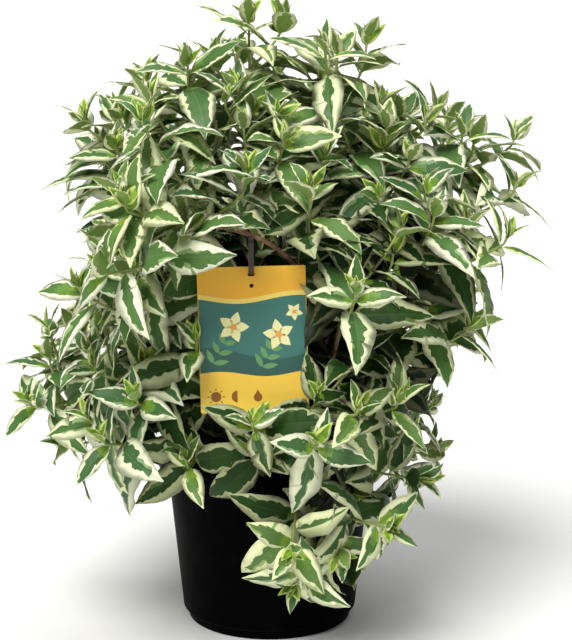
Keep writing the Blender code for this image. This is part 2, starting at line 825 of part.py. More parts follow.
def side_route(start, axis, length, turn):
    """A side shoot's path: out from its stem, then lifted towards the light."""
    side = axis.orthogonal().normalized()
    side.rotate(Matrix.Rotation(turn, 3, axis))
    heading = axis * math.cos(SIDE_SHOOT_SPLAY) + side * math.sin(SIDE_SHOOT_SPLAY)
    arrival = (heading + Vector((0.0, 0.0, SIDE_SHOOT_LIFT)) + axis * SIDE_SHOOT_LIFT).normalized()
    end = start + (heading + arrival).normalized() * length
    return Route(start, heading, end, arrival)


def grow_shoots(mass, route, entry):
    """Stem, fork and side shoots of one mass."""
    start = route.beyond(entry, STEM_CLEAR)
    shoot_widths = (SHOOT_WIDTH, SHOOT_TIP_WIDTH)
    stem = route.meeting(start, 1.0, STEM_SEGMENTS)
    mass.add_shoot(stem, (STEM_WIDTH, SHOOT_TIP_WIDTH), "stem", mass.rng.uniform(0, math.pi))
    stem_line = mass.shoots[0][0]
    for tip in LEADING_TIPS[mass.name][1:]:
        root, heading = stem_line.behind_tip(stem_line.length * (1 - FORK_PLACE))
        arm = Route(root, heading, tip_point(tip), tip_direction(tip)).stretch(0.0, 1.0, ARM_SEGMENTS)
        mass.add_shoot(arm, shoot_widths, "fork", mass.rng.uniform(0, math.pi))
    turn = mass.rng.uniform(0, 2 * math.pi)
    for index in range(SIDE_SHOOTS):
        share = (index + 0.5) / SIDE_SHOOTS
        place = LOWEST_SHOOT + (HIGHEST_SHOOT - LOWEST_SHOOT) * share
        root, heading = stem_line.behind_tip(stem_line.length * (1 - place))
        length = SIDE_SHOOT_LONGEST + (SIDE_SHOOT_SHORTEST - SIDE_SHOOT_LONGEST) * share
        for attempt in range(SHOOT_TRIES):
            turn += GOLDEN_ANGLE
            side = side_route(root, heading, length * SHORTER**attempt, turn)
            points = side.stretch(0.0, 1.0, SHOOT_SEGMENTS)
            if mass.add_shoot(points, shoot_widths, f"shoot_{index + 1}", turn):
                break


def grow_leaves(masses):
    """Leaves on all masses by turns, a pair at a time from the tips back, so that none is crowded."""
    for pair in range(len(LEAF_PAIRS)):
        for shoot_index in range(2 + SIDE_SHOOTS):
            for mass in masses:
                if shoot_index < len(mass.shoots):
                    mass.add_pair(shoot_index, pair)


def largest_shell(mesh):
    """Keep the body's outer skin, so that sealed hollows are filled and scraps dropped."""
    bm = bmesh.new()
    bm.from_mesh(mesh)
    left = set(bm.verts)
    shells = []
    while left:
        queue = [left.pop()]
        shell = set(queue)
        while queue:
            for edge in queue.pop().link_edges:
                for vertex in edge.verts:
                    if vertex not in shell:
                        shell.add(vertex)
                        queue.append(vertex)
        left -= shell
        shells.append(shell)
    shells.sort(key=len)
    for shell in shells[:-1]:
        bmesh.ops.delete(bm, geom=list(shell), context="VERTS")
    bm.to_mesh(mesh)
    bm.free()


def fuse_mass(mass):
    """Join a mass's shoots and leaves into one body by one union on their collection."""
    stem = mass.pieces.objects[0]
    mass.pieces.objects.unlink(stem)
    mass.parts.objects.link(stem)
    stem.name = f"{mass.name}_foliage"
    join = stem.modifiers.new("join", "BOOLEAN")
    join.operation = "UNION"
    join.operand_type = "COLLECTION"
    join.collection = mass.pieces
    join.solver = "EXACT"
    mesh = evaluated_mesh(stem, stem.name, FUSED_WELD)
    stem.modifiers.clear()
    for piece in list(mass.pieces.objects):
        bpy.data.objects.remove(piece)
    bpy.data.collections.remove(mass.pieces)
    largest_shell(mesh)
    mesh.materials.clear()
    mesh.materials.append(mass.material)
    stem.data = mesh
    return stem


def view_block(cutters):
    """Guide in front of the card's face, where no leaf grows."""
    bm = bmesh.new()
    bmesh.ops.create_cube(bm, size=1.0)
    size = (CARD_WIDTH - 2 * VIEW_INSET, CARD_HEIGHT - 2 * VIEW_INSET, VIEW_DEPTH)
    bmesh.ops.scale(bm, vec=size, verts=bm.verts)
    shift = (CARD_OFF_CENTRE, SLOT_DROP - 0.5 * CARD_HEIGHT, 0.5 * VIEW_DEPTH)
    bmesh.ops.translate(bm, vec=shift, verts=bm.verts)
    mesh = bpy.data.meshes.new("card_view")
    bm.to_mesh(mesh)
    bm.free()
    guide = add_object("card_view", mesh, cutters)
    guide.hide_render = True
    guide.display_type = "WIRE"
    guide.matrix_world = card_frame()
    return guide


def build():
    """The whole plant in its pot."""
    clear_scene()
    parts = make_collection(PART_NAME)
    cutters = make_collection("cutters")
    bark = make_material("bark", 0.80)
    foliage = make_material("foliage", 0.55)

    pot = build_pot(parts, cutters, make_material("pot", 0.42))
    mix = build_mix(parts, make_material("mix", 0.95))
    crown = build_crown(parts, bark)
    card = build_card(parts, make_material("card", 0.40))
    tie = build_tie(parts, make_material("tie", 0.50))

    centres = hearts()
    entries = entry_places()
    routes = {name: cane_route(name) for name in LEADING_TIPS}
    boughs = [build_bough(name, parts, bark) for name in routes]

    bpy.context.view_layer.update()
    solids = [pot, mix, crown, card, tie, view_block(cutters), *boughs]
    bpy.context.view_layer.update()
    growth = Growth(solids, centres)
    section = twig_section(cutters)
    leaf_forms = []
    for index, droop in enumerate(LEAF_DROOPS):
        leaf = leaf_mesh(f"leaf_{index + 1}", droop)
        guard = leaf_mesh(f"leaf_guard_{index + 1}", droop, LEAF_GUARD / LEAF_LENGTH)
        leaf_forms.append((leaf, guard))
    masses = [Mass(name, parts, growth, section, leaf_forms, foliage) for name in LEADING_TIPS]
    for mass in masses:
        grow_shoots(mass, routes[mass.name], entries[mass.name])
    grow_leaves(masses)
    for mass in masses:
        fuse_mass(mass)


build()
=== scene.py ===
"""Looks of the potted southern bush honeysuckle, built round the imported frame.

The canes, shoots and leaves grow by the same rule as the solids, from the same table of leading
tips, and are carried on to finer shoots and to more leaves within the same reach.
"""

import math
import random

import bmesh
import bpy
import numpy as np
from mathutils import Matrix, Vector
from mathutils.bvhtree import BVHTree


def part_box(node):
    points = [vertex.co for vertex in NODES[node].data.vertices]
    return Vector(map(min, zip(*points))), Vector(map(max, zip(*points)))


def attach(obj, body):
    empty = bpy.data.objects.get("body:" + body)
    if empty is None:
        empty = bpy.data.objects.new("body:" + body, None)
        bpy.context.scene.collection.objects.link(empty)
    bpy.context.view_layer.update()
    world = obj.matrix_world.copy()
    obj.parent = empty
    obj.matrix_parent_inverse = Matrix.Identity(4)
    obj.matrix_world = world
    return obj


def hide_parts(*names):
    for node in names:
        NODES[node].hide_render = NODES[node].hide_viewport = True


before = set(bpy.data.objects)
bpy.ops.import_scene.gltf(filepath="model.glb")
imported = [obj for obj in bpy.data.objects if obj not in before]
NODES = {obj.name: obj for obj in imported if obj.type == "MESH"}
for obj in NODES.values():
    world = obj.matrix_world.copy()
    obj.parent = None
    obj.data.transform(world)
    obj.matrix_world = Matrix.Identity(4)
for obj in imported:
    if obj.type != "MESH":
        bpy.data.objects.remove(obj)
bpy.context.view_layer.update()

BODY = "root"

# Camera, from the photograph: pixels of focal length, distance, height, pitch and turn
PHOTO_HEIGHT = 640
FOCAL_PIXELS = 1920
CAMERA_DISTANCE = 1.9
CAMERA_HEIGHT = 0.714
CAMERA_PITCH = math.radians(12)
CAMERA_TURN = math.atan(17.5 / FOCAL_PIXELS)
SENSOR_HEIGHT = 24.0
FLOOR_REACH = 40.0

# The pot, as in the source
POT_HEIGHT = 0.183
POT_WALL = 0.0018
POT_FLOOR = 0.0035
DRAIN_HOLES = 6
DRAIN_RADIUS = 0.006
DRAIN_RING_RADIUS = 0.058
FOOT_HEIGHT = 0.011
FOOT_RADIUS = 0.0830
FOOT_SHOULDER_RADIUS = 0.0855
WALL_LOW_RADIUS = 0.0890
WALL_HIGH_RADIUS = 0.1030
BAND_HEIGHT = 0.033
BAND_RADIUS = 0.1120
BAND_SHOULDER = 0.005
LIP_RADIUS = 0.1135
LIP_HEIGHT = 0.004
MIX_EDGE_LEVEL = 0.160
MIX_RISE = 0.004
CROWN_RADIUS = 0.034
CROWN_LEVEL = 0.160
GAP = 0.0003

# Canes, as in the source
CANE_FOOT_WIDTH = 0.0078
CANE_ENTRY_WIDTH = 0.0044
CANE_SEGMENTS = 5
CANE_RISE = 0.42
TIP_RUN = 0.36
LEAN_LEVEL = 0.20
LEAN_SHARE = 0.80
FOOT_LEAN_SHARE = 0.62
FOOT_LEAN = math.radians(8)
FOOT_LEAN_MOST = math.radians(52)
LOW_FROM = 0.240
LOW_SPAN = 0.110
LOW_RISE = 0.45
LOW_RUN = 0.14
LOW_TIP_LEAN = math.radians(40)
LOW_FOOT_LIFT = math.radians(22)
FOOT_SPACING = 0.0115
FOOT_ROUNDS = 60
SHORTEST_CANE = 0.34
LONGEST_CANE = 0.66
SCAN_STEPS = 60

# Shoots, as in the source
STEM_WIDTH = 0.0036
STEM_CLEAR = 0.0004
MEETING_LENGTH = 0.003
SHOOT_WIDTH = 0.0030
SHOOT_TIP_WIDTH = 0.0018
FORK_PLACE = 0.18
LOWEST_SHOOT = 0.10
HIGHEST_SHOOT = 0.85
SIDE_SHOOTS = 5
SIDE_SHOOT_LONGEST = 0.125
SIDE_SHOOT_SHORTEST = 0.060
SIDE_SHOOT_SPLAY = math.radians(52)
SIDE_SHOOT_LIFT = 0.35
SHORTER = 0.85
SHOOT_TRIES = 5
GOLDEN_ANGLE = math.pi * (3 - math.sqrt(5))

# Leaves
LEAF_LENGTH = 0.080
LEAF_GUARD = 0.0004
PAIR_SPACING = 0.0230
FACE_TO_TIP = 0.75
FACE_TO_SKY = 0.50
FACE_OUTWARD = 0.40
SHARED_BORDER = 0.028
LEAF_ROWS = 22
PETIOLE = 0.055
# A grown leaf spreads: its heading climbs by no more than this.
MOST_CLIMB = 0.30
# Side veins of a blade: how many on each side, how far they slant and how deep they lie
VEINS = 6.5
VEIN_SLANT = 0.9
VEIN_RELIEF = 0.042
# Past the source's tips the shoots grow on, and turn up to the light.
SIDE_RUN = 0.008
LIGHT_PULL = 0.90
# Old leaves on the boughs, down from where they enter their masses
CANE_PAIRS = 6
CANE_PAIR_SPACING = 0.024
CANE_LEAF_SIZE = 0.86
CANE_LEAF_SINK = 0.0009
CANE_BORDER = 0.070
# Leaves rooted deeper in the crown than this get a painted shade tint, and then a darker painted shade tint.
PAINTED_SHADE_FROM = 0.058
PAINTED_DEEP_SHADE_FROM = 0.092
# Painted shade is deeper low down, by a share of the height below this level.
SHADE_LEVEL = 0.40
SHADE_SLOPE = 0.18
# Gloss of the leaves' skin, and the lower gloss of the painted shade tints
LEAF_GLOSS = 0.34
PAINTED_SHADE_GLOSS = 0.14

# The card and its tie, as in the source
CARD_WIDTH = 0.101
CARD_HEIGHT = 0.136
CARD_THICKNESS = 0.0006
CARD_TILT = math.radians(-7)
CARD_LEAN = math.radians(1.5)
CARD_OFF_CENTRE = 0.0
SLOT_HEIGHT = 0.0030
SLOT_DROP = 0.0075
TIE_BOUGH = "front_upper"
TIE_BOUGH_ENTRY = 0.93
TIE_WIDTH = 0.0050
TIE_THICKNESS = 0.0009

LEADING_TIPS = {
    "crest_left": ((168, 0.019, 0.559), (180, 0.052, 0.541)),
    "crest_right": ((-16, 0.069, 0.562), (11, 0.098, 0.574)),
    "upper_left": ((-162, 0.085, 0.533), (-134, 0.087, 0.500)),
    "left_shoulder": ((-179, 0.150, 0.500), (-166, 0.152, 0.445)),
    "left_middle": ((-134, 0.155, 0.390), (-153, 0.149, 0.352)),
    "left_low": ((-169, 0.212, 0.256), (-154, 0.183, 0.311)),
    "left_front": ((-131, 0.176, 0.284), (-117, 0.166, 0.198)),
    "front_top": ((-108, 0.057, 0.511), (-60, 0.104, 0.476)),
    "front_upper": ((-115, 0.172, 0.434), (-98, 0.153, 0.468)),
    "front_right": ((-62, 0.170, 0.378), (-76, 0.154, 0.440)),
    "right_shoulder": ((-12, 0.128, 0.508), (-30, 0.126, 0.475)),
    "right_outer": ((3, 0.203, 0.476), (-2, 0.176, 0.498)),
    "right_middle": ((-22, 0.170, 0.413), (-45, 0.164, 0.388)),
    "right_low": ((-14, 0.136, 0.328), (-43, 0.128, 0.281)),
    "right_spray": ((-12, 0.134, 0.180),),
    "front_skirt": ((-76, 0.188, 0.274), (-94, 0.167, 0.211)),
    "right_skirt": ((-67, 0.160, 0.126), (-59, 0.140, 0.172)),
    "back_crest": ((83, 0.077, 0.540), (50, 0.108, 0.507)),
    "back_left_high": ((138, 0.137, 0.482), (165, 0.152, 0.417)),
    "back_right_high": ((36, 0.155, 0.462), (60, 0.159, 0.455)),
    "back_left": ((152, 0.176, 0.296), (130, 0.172, 0.372)),
    "back_right": ((30, 0.166, 0.345), (52, 0.178, 0.255)),
    "back_middle": ((92, 0.181, 0.409), (72, 0.184, 0.363)),
    "back_low": ((86, 0.179, 0.233), (118, 0.177, 0.246)),
}
FOOT_TURNS = {"front_upper": 50}
TIP_HEADINGS = {"front_upper": (178, 86, 0.55)}
HEART_SHARE = 0.80
PLANT_MIDDLE = Vector((0.0, 0.0, 0.30))


def direction(azimuth, lean):
    """Unit vector that leans from upright towards a compass angle."""
    return Vector(
        (math.sin(lean) * math.cos(azimuth), math.sin(lean) * math.sin(azimuth), math.cos(lean))
    )


def tip_point(tip):
    """A leading tip's place."""
    azimuth, reach, height = tip
    angle = math.radians(azimuth)
    return Vector((reach * math.cos(angle), reach * math.sin(angle), height))


def lowness(tip):
    """From 0 for a tip well above the pot's lip to 1 for one that hangs in front of the pot."""
    return min(max((LOW_FROM - tip[2]) / LOW_SPAN, 0.0), 1.0)


def tip_direction(tip):
    """The way a leading tip points: further over the wider and the lower it is."""
    azimuth, reach, height = tip
    lean = LEAN_SHARE * math.atan2(reach, height - LEAN_LEVEL) + LOW_TIP_LEAN * lowness(tip)
    return direction(math.radians(azimuth), lean)


class Route:
    """A smooth path from one place and heading to another, as a cubic curve."""

    def __init__(self, start, heading, end, arrival, rise=CANE_RISE, run=TIP_RUN):
        span = (end - start).length
        self.points = (start, start + heading * rise * span, end - arrival * run * span, end)

    def at(self, place):
        """The point at a share of the path."""
        a, b, c, d = self.points
        rest = 1 - place
        return (
            a * rest**3 + b * (3 * rest * rest * place) + c * (3 * rest * place * place) + d * place**3
        )

    def slope(self, place):
        """The path's rate of travel at a share of it."""
        a, b, c, d = self.points
        rest = 1 - place
        return 3 * ((b - a) * rest**2 + (c - b) * (2 * rest * place) + (d - c) * place**2)

    def stretch(self, start, end, segments):
        """Points along part of the path."""
        step = (end - start) / segments
        return [self.at(start + step * index) for index in range(segments + 1)]


def crown_headings():
    """The way each cane leaves the crown: towards its tip, with room for its neighbours."""
    headings = {}
    for name, tips in LEADING_TIPS.items():
        azimuth, reach, height = tips[0]
        lean = FOOT_LEAN_SHARE * math.atan2(reach, height - LEAN_LEVEL) + FOOT_LEAN
        lean = min(lean, FOOT_LEAN_MOST - LOW_FOOT_LIFT * lowness(tips[0]))
        headings[name] = direction(math.radians(azimuth + FOOT_TURNS.get(name, 0)), lean)
    for _ in range(FOOT_ROUNDS):
        pushes = {name: Vector() for name in headings}
        for name, heading in headings.items():
            for other, beside in headings.items():
                apart = (heading - beside).length * CROWN_RADIUS
                if name != other and apart < FOOT_SPACING:
                    pushes[name] += (heading - beside) * (0.5 * (FOOT_SPACING - apart) / apart)
        for name, push in pushes.items():
            headings[name] = (headings[name] + push).normalized()
    return headings


def cane_routes():
    """Each cane's whole path, from the crown to the leading tip of its mass."""
    routes = {}
    for name, heading in crown_headings().items():
        tip = LEADING_TIPS[name][0]
        foot = Vector((0.0, 0.0, CROWN_LEVEL)) + heading * (CROWN_RADIUS + GAP)
        arrival = tip_direction(tip)
        rise = CANE_RISE + LOW_RISE * lowness(tip)
        run = TIP_RUN + LOW_RUN * lowness(tip)
        if name in TIP_HEADINGS:
            azimuth, lean, run = TIP_HEADINGS[name]
            arrival = direction(math.radians(azimuth), math.radians(lean))
        routes[name] = Route(foot, heading, tip_point(tip), arrival, rise, run)
    return routes


def hearts():
    """The middle of each mass's own space."""
    found = {}
    for name, tips in LEADING_TIPS.items():
        middle = sum((tip_point(tip) for tip in tips), Vector()) / len(tips)
        found[name] = PLANT_MIDDLE.lerp(middle, HEART_SHARE)
    return found


def space_depth(point, name, centres):
    """How far a point lies inside a mass's own space: nearer its heart than any other."""
    own = centres[name]
    depths = []
    for other, centre in centres.items():
        if other != name:
            side = (point - centre).length_squared - (point - own).length_squared
            depths.append(side / (2 * (own - centre).length))
    return min(depths)


def entry_place(route, name, centres):
    """Share of the path at which a cane enters its mass's own space for good."""
    if name == TIE_BOUGH:
        return TIE_BOUGH_ENTRY
    for index in range(SCAN_STEPS, -1, -1):
        place = index / SCAN_STEPS
        if space_depth(route.at(place), name, centres) < STEM_WIDTH:
            return min(max(place + 1 / SCAN_STEPS, SHORTEST_CANE), LONGEST_CANE)
    return SHORTEST_CANE


def make_object(name, mesh, materials, replaced=(), smooth=True):
    """A piece of the object that rides on the plant's one body."""
    for material in materials:
        mesh.materials.append(material)
    made = bpy.data.objects.new(name, mesh)
    bpy.context.scene.collection.objects.link(made)
    if smooth:
        mesh.shade_smooth()
    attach(made, BODY)
    if replaced:
        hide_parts(*replaced)
    return made


def mesh_from_arrays(name, points, quads, slots=None):
    """A mesh of four-sided faces from arrays."""
    mesh = bpy.data.meshes.new(name)
    mesh.vertices.add(len(points))
    mesh.vertices.foreach_set("co", np.asarray(points, np.float32).ravel())
    mesh.loops.add(quads.size)
    mesh.loops.foreach_set("vertex_index", quads.astype(np.int32).ravel())
    mesh.polygons.add(len(quads))
    mesh.polygons.foreach_set("loop_start", np.arange(0, quads.size, 4, dtype=np.int32))
    if slots is not None:
        mesh.polygons.foreach_set("material_index", slots.astype(np.int32))
    mesh.update(calc_edges=True)
    mesh.validate()
    return mesh


def new_material(name, colour, roughness):
    """Principled material with its plain colour and roughness on the shader's own sockets."""
    material = bpy.data.materials.new(name)
    material.use_nodes = True
    material.diffuse_color = (*colour, 1.0)
    shader = material.node_tree.nodes["Principled BSDF"]
    shader.inputs["Base Color"].default_value = (*colour, 1.0)
    shader.inputs["Roughness"].default_value = roughness
    return material, material.node_tree, shader


def add_noise(tree, scale, detail=4.0, stretch=None):
    """Noise in the object's own space, stretched along an axis on request."""
    place = tree.nodes.new("ShaderNodeTexCoord")
    source = place.outputs["Object"]
    if stretch:
        mapping = tree.nodes.new("ShaderNodeMapping")
        mapping.inputs["Scale"].default_value = stretch
        tree.links.new(source, mapping.inputs["Vector"])
        source = mapping.outputs["Vector"]
    noise = tree.nodes.new("ShaderNodeTexNoise")
    noise.inputs["Scale"].default_value = scale
    noise.inputs["Detail"].default_value = detail
    tree.links.new(source, noise.inputs["Vector"])
    return noise.outputs["Fac"]


def add_bump(tree, shader, height, distance, strength=0.6):
    """Bump from a height."""
    bump = tree.nodes.new("ShaderNodeBump")
    bump.inputs["Strength"].default_value = strength
    bump.inputs["Distance"].default_value = distance
    tree.links.new(height, bump.inputs["Height"])
    tree.links.new(bump.outputs["Normal"], shader.inputs["Normal"])


def add_range(tree, value, low, high):
    """A value from 0 to 1 mapped to a range."""
    node = tree.nodes.new("ShaderNodeMapRange")
    node.inputs["To Min"].default_value = low
    node.inputs["To Max"].default_value = high
    tree.links.new(value, node.inputs["Value"])
    return node.outputs["Result"]


def add_ramp(tree, value, stops):
    """Colours along a value."""
    ramp = tree.nodes.new("ShaderNodeValToRGB")
    ramp.color_ramp.elements[0].position = stops[0][0]
    ramp.color_ramp.elements[0].color = (*stops[0][1], 1.0)
    ramp.color_ramp.elements[1].position = stops[-1][0]
    ramp.color_ramp.elements[1].color = (*stops[-1][1], 1.0)
    for position, colour in stops[1:-1]:
        element = ramp.color_ramp.elements.new(position)
        element.color = (*colour, 1.0)
    tree.links.new(value, ramp.inputs["Fac"])
    return ramp.outputs["Color"]


def leaf_material(name, colour, roughness, gloss=LEAF_GLOSS):
    """Leaf skin: plain colour, with a fine grain in its gloss and its relief."""
    material, tree, shader = new_material(name, colour, roughness)
    grain = add_noise(tree, 420.0, 3.0)
    tree.links.new(add_range(tree, grain, roughness - 0.08, roughness + 0.12), shader.inputs["Roughness"])
    add_bump(tree, shader, add_noise(tree, 900.0, 2.0), 0.0002, 0.35)
    shader.inputs["Specular IOR Level"].default_value = gloss
    return material


def bark_material(name, stops, scale, depth):
    """Bark with colour that runs along the limb, and ridges."""
    material, tree, shader = new_material(name, stops[1][1], 0.75)
    colour = add_ramp(tree, add_noise(tree, scale, 6.0, (1.0, 1.0, 0.22)), stops)
    tree.links.new(colour, shader.inputs["Base Color"])
    tree.links.new(add_range(tree, add_noise(tree, scale * 3, 3.0), 0.55, 0.9), shader.inputs["Roughness"])
    add_bump(tree, shader, add_noise(tree, scale * 2.2, 5.0, (1.0, 1.0, 0.18)), depth, 0.8)
    return material


# Leaf colours: a spray takes one of the first four tints. The last three of each are those of
# young leaves, then a painted shade tint for leaves inside the crown and a darker painted shade tint for those deep
# in it.
GREENS = (
    (0.060, 0.148, 0.032),
    (0.080, 0.178, 0.042),
    (0.100, 0.198, 0.044),
    (0.050, 0.128, 0.036),
    (0.210, 0.360, 0.030),
    (0.020, 0.054, 0.009),
    (0.004, 0.012, 0.002),
)
HALF_TONES = (
    (0.240, 0.360, 0.150),
    (0.270, 0.400, 0.170),
    (0.300, 0.420, 0.140),
    (0.220, 0.340, 0.160),
    (0.400, 0.540, 0.100),
    (0.085, 0.140, 0.050),
    (0.014, 0.026, 0.007),
)
CREAMS = (
    (0.780, 0.830, 0.520),
    (0.830, 0.860, 0.630),
    (0.770, 0.830, 0.470),
    (0.750, 0.790, 0.550),
    (0.620, 0.710, 0.200),
    (0.400, 0.435, 0.240),
    (0.062, 0.070, 0.032),
)
RIBS = (
    (0.100, 0.215, 0.060),
    (0.115, 0.235, 0.068),
    (0.135, 0.255, 0.064),
    (0.085, 0.190, 0.064),
    (0.330, 0.470, 0.060),
    (0.036, 0.082, 0.024),
    (0.007, 0.018, 0.004),
)
YOUNG_STEP = (0.120, 0.250, 0.032)
# Undersides: paler than the upper face, and lightened further with painted light shining through the leaf.
UNDERSIDE_WITH_PAINTED_GLOW = (0.230, 0.345, 0.090)
UNDERSIDE_MARGIN_WITH_PAINTED_GLOW = (0.850, 0.870, 0.550)
STALK = (0.300, 0.380, 0.070)

# Classes of face on a leaf. The first four come in every tint.
TINTS = len(GREENS)
# The last two tints are painted shade: darkened copies of the leaf colours.
YOUNG, PAINTED_SHADE, PAINTED_DEEP_SHADE = TINTS - 3, TINTS - 2, TINTS - 1
GREEN, HALF_TONE, CREAM, RIB, UNDER, UNDER_MARGIN, PETIOLE_FACE, FRESH_STEP, FRESH = range(9)
TINTED = (("green", GREENS, 0.46), ("half_tone", HALF_TONES, 0.50), ("margin", CREAMS, 0.54), ("rib", RIBS, 0.50))


def make_leaf_materials():
    """All leaf materials, in the order that the leaves' slots use."""
    made = []
    for kind, tints, roughness in TINTED:
        for index, colour in enumerate(tints):
            # The painted shade tints also get less gloss.
            gloss = LEAF_GLOSS if index < PAINTED_SHADE else PAINTED_SHADE_GLOSS
            made.append(leaf_material(f"leaf_{kind}_{index + 1}", colour, roughness, gloss))
    made.append(leaf_material("leaf_underside", UNDERSIDE_WITH_PAINTED_GLOW, 0.62))
    made.append(leaf_material("leaf_underside_margin", UNDERSIDE_MARGIN_WITH_PAINTED_GLOW, 0.62))
    made.append(leaf_material("leaf_stalk", STALK, 0.50))
    made.append(leaf_material("leaf_green_step", YOUNG_STEP, 0.46))
    return made


def slots_of(tint):
    """Slot of each class of face, for a leaf of one tint."""
    slots = [index * TINTS + tint for index in range(len(TINTED))]
    first = len(TINTED) * TINTS
    under = [first, first + 1]
    # Undersides of painted shade leaves take the same darkened rib and half-tone colours.
    if tint in (PAINTED_SHADE, PAINTED_DEEP_SHADE):
        under = [slots[RIB], slots[HALF_TONE]]
    return np.array(slots + under + [first + 2, first + 3, YOUNG])


def blade_width(share):
    """Half-width of a leaf along its blade, as a share of its greatest."""
    base, tip = 0.62, 1.06
    widest = base / (base + tip)
    peak = widest**base * (1 - widest) ** tip
    return share**base * (1 - share) ** tip / peak


def wander(rng, count, step, keep=0.72):
    """Numbers that drift slowly about nought."""
    value = rng.uniform(-step, step)
    made = []
    for _ in range(count):
        value = keep * value + rng.uniform(-step, step)
        made.append(value)
    return made


def jagged_border(rng, margin, count):
    """Where the green ends on each row, as a share of the half-width, and its shift to the tip."""
    made = []
    for low in wander(rng, count, 0.090, 0.82):
        tooth = rng.uniform(-0.095, 0.085)
        if rng.random() < 0.18:
            tooth -= rng.uniform(0.08, 0.24)
        made.append((min(max(margin + low + tooth, 0.10), 0.94), 4.0 * tooth))
    return made


class LeafForm:
    """One leaf of unit length along +X, its upper face to +Z, ready to be placed many times.

    Every row across the blade has eight points above, from edge to edge, and three below. The
    green middle and the pale margin are faces of their own, so their border is jagged.
    """

    ABOVE = 8
    ROW = 11

    def __init__(self, rng, rows, half_width, droop, rise, fold, twist, wave, margins, pale_tip, fresh):
        self.rng = rng
        self.fresh = fresh
        self.half_width = half_width
        self.droop = droop
        self.rise = rise
        self.fold = fold
        self.twist = twist
        self.wave = wave
        self.curl = rng.uniform(-0.22, 0.10)
        self.sweep = rng.uniform(-0.22, 0.22)
        self.wave_turn = rng.uniform(0, 2 * math.pi)
        self.pale_tip = pale_tip
        self.shares = [-PETIOLE] + [index / rows for index in range(rows + 1)]
        count = len(self.shares)
        self.borders = []
        for margin in margins:
            self.borders.append(jagged_border(rng, margin, count))
        self.middles = [[0.55 + low for low in wander(rng, count, 0.13, 0.75)] for _ in margins]
        self.puckers = [rng.uniform(-0.012, 0.012) for _ in range(count)]
        self.notches = [1 + rng.uniform(-0.026, 0.026) for _ in range(count)]
        self.step = 1.0 / rows
        points = []
        centre = Vector((-PETIOLE, 0.0, 0.0))
        for row, share in enumerate(self.shares):
            if row:
                centre = centre + self.ahead(share) * (share - self.shares[row - 1])
            points += self.row_points(row, max(share, 0.0), centre)
        self.points = np.array([tuple(point) for point in points])
        self.points -= self.points[: self.ROW].mean(axis=0)
        self.add_faces(rows)

    def ahead(self, share):
        """Heading of the midrib."""
        share = max(share, 0.0)
        dip = self.droop * (0.55 * share + 0.45 * share**2) - self.rise * (1 - share)
        yaw = self.sweep * share**1.5
        return Vector((math.cos(dip) * math.cos(yaw), math.cos(dip) * math.sin(yaw), -math.sin(dip)))

    def row_points(self, row, share, centre):
        """The eleven points of one row."""
        ahead = self.ahead(share)
        yaw = self.sweep * share**1.5
        across = Vector((-math.sin(yaw), math.cos(yaw), 0.0))
        across.rotate(Matrix.Rotation(self.twist * share, 3, ahead))
        up = ahead.cross(across)
        width = max(self.half_width * blade_width(share), 0.0105)
        notch = self.notches[row] if 0.05 < share < 0.95 else 1.0
        rib = min(0.0065 * (1 - 0.6 * share) / width, 0.5)
        fold = self.fold * (1 - 0.45 * share)

        def spot(place, side, drop=0.0, shift=0.0):
            reach = width * place * (notch if place == 1.0 else 1.0)
            lift = fold * reach + self.curl * width * place**3
            bulge = math.sin(math.pi * place)
            lift += self.puckers[row] * width * bulge
            vein = math.cos(2 * math.pi * (VEINS * share - VEIN_SLANT * place))
            lift += VEIN_RELIEF * width * bulge * (1 + vein)
            turn = 2 * math.pi * 2.3 * share + self.wave_turn * side
            lift += self.wave * width * place**2 * math.sin(turn)
            along = ahead * (shift * self.step)
            return centre + along + across * (reach * side) + up * (lift - drop)

        thick = 0.007 if share else 0.014
        sides = []
        below = []
        for side, borders, middles in zip((-1, 1), self.borders, self.middles):
            border, shift = borders[row]
            middle = min(max(middles[row], 0.20), 0.85)
            border = max(border, rib + 0.04)
            if not 0.0 < share < 0.9:
                shift = 0.0
            places = ((rib, 0.0), (rib + middle * (border - rib), 0.3 * shift), (border, shift), (1.0, 0.0))
            sides.append([spot(place, side, 0.0, move) for place, move in places])
            below.append(spot(border, side, 0.6 * thick, shift))
        return sides[0][::-1] + sides[1] + [below[1], spot(0.0, 1, thick), below[0]]

    def add_faces(self, rows):
        """Faces of the leaf, with the class of each."""
        fresh = self.fresh
        quads = []
        kinds = []
        grey = [False, False]
        stray = [False, False]
        for row in range(rows + 1):
            base = row * self.ROW
            ahead = base + self.ROW
            for side in (0, 1):
                grey[side] = self.rng.random() < (0.78 if grey[side] else 0.045)
                stray[side] = self.rng.random() < (0.50 if stray[side] else 0.008)
            for column in range(self.ABOVE - 1):
                quads.append((base + column, ahead + column, ahead + column + 1, base + column + 1))
                side = 0 if column < 3 else 1
                depth = min(column, self.ABOVE - 2 - column)
                kind = (CREAM, GREEN, GREEN, RIB)[depth]
                if depth == 1 and grey[side]:
                    kind = HALF_TONE
                if depth == 0 and stray[side]:
                    kind = HALF_TONE
                if kind == GREEN and self.shares[row] < fresh * (1.0 if depth == 2 else 0.75):
                    kind = FRESH if self.shares[row] < 0.55 * fresh else FRESH_STEP
                if self.shares[row] > self.pale_tip and depth < 3:
                    kind = CREAM
                kinds.append(kind if row else PETIOLE_FACE)
            loop = (self.ABOVE - 1, self.ABOVE, self.ABOVE + 1, self.ABOVE + 2, 0)
            for index in range(4):
                first, second = loop[index], loop[index + 1]
                quads.append((ahead + first, ahead + second, base + second, base + first))
                kind = UNDER_MARGIN if index in (0, 3) else UNDER
                kinds.append(kind if row else PETIOLE_FACE)
        self.quads = np.array(quads)
        self.kinds = np.array(kinds)


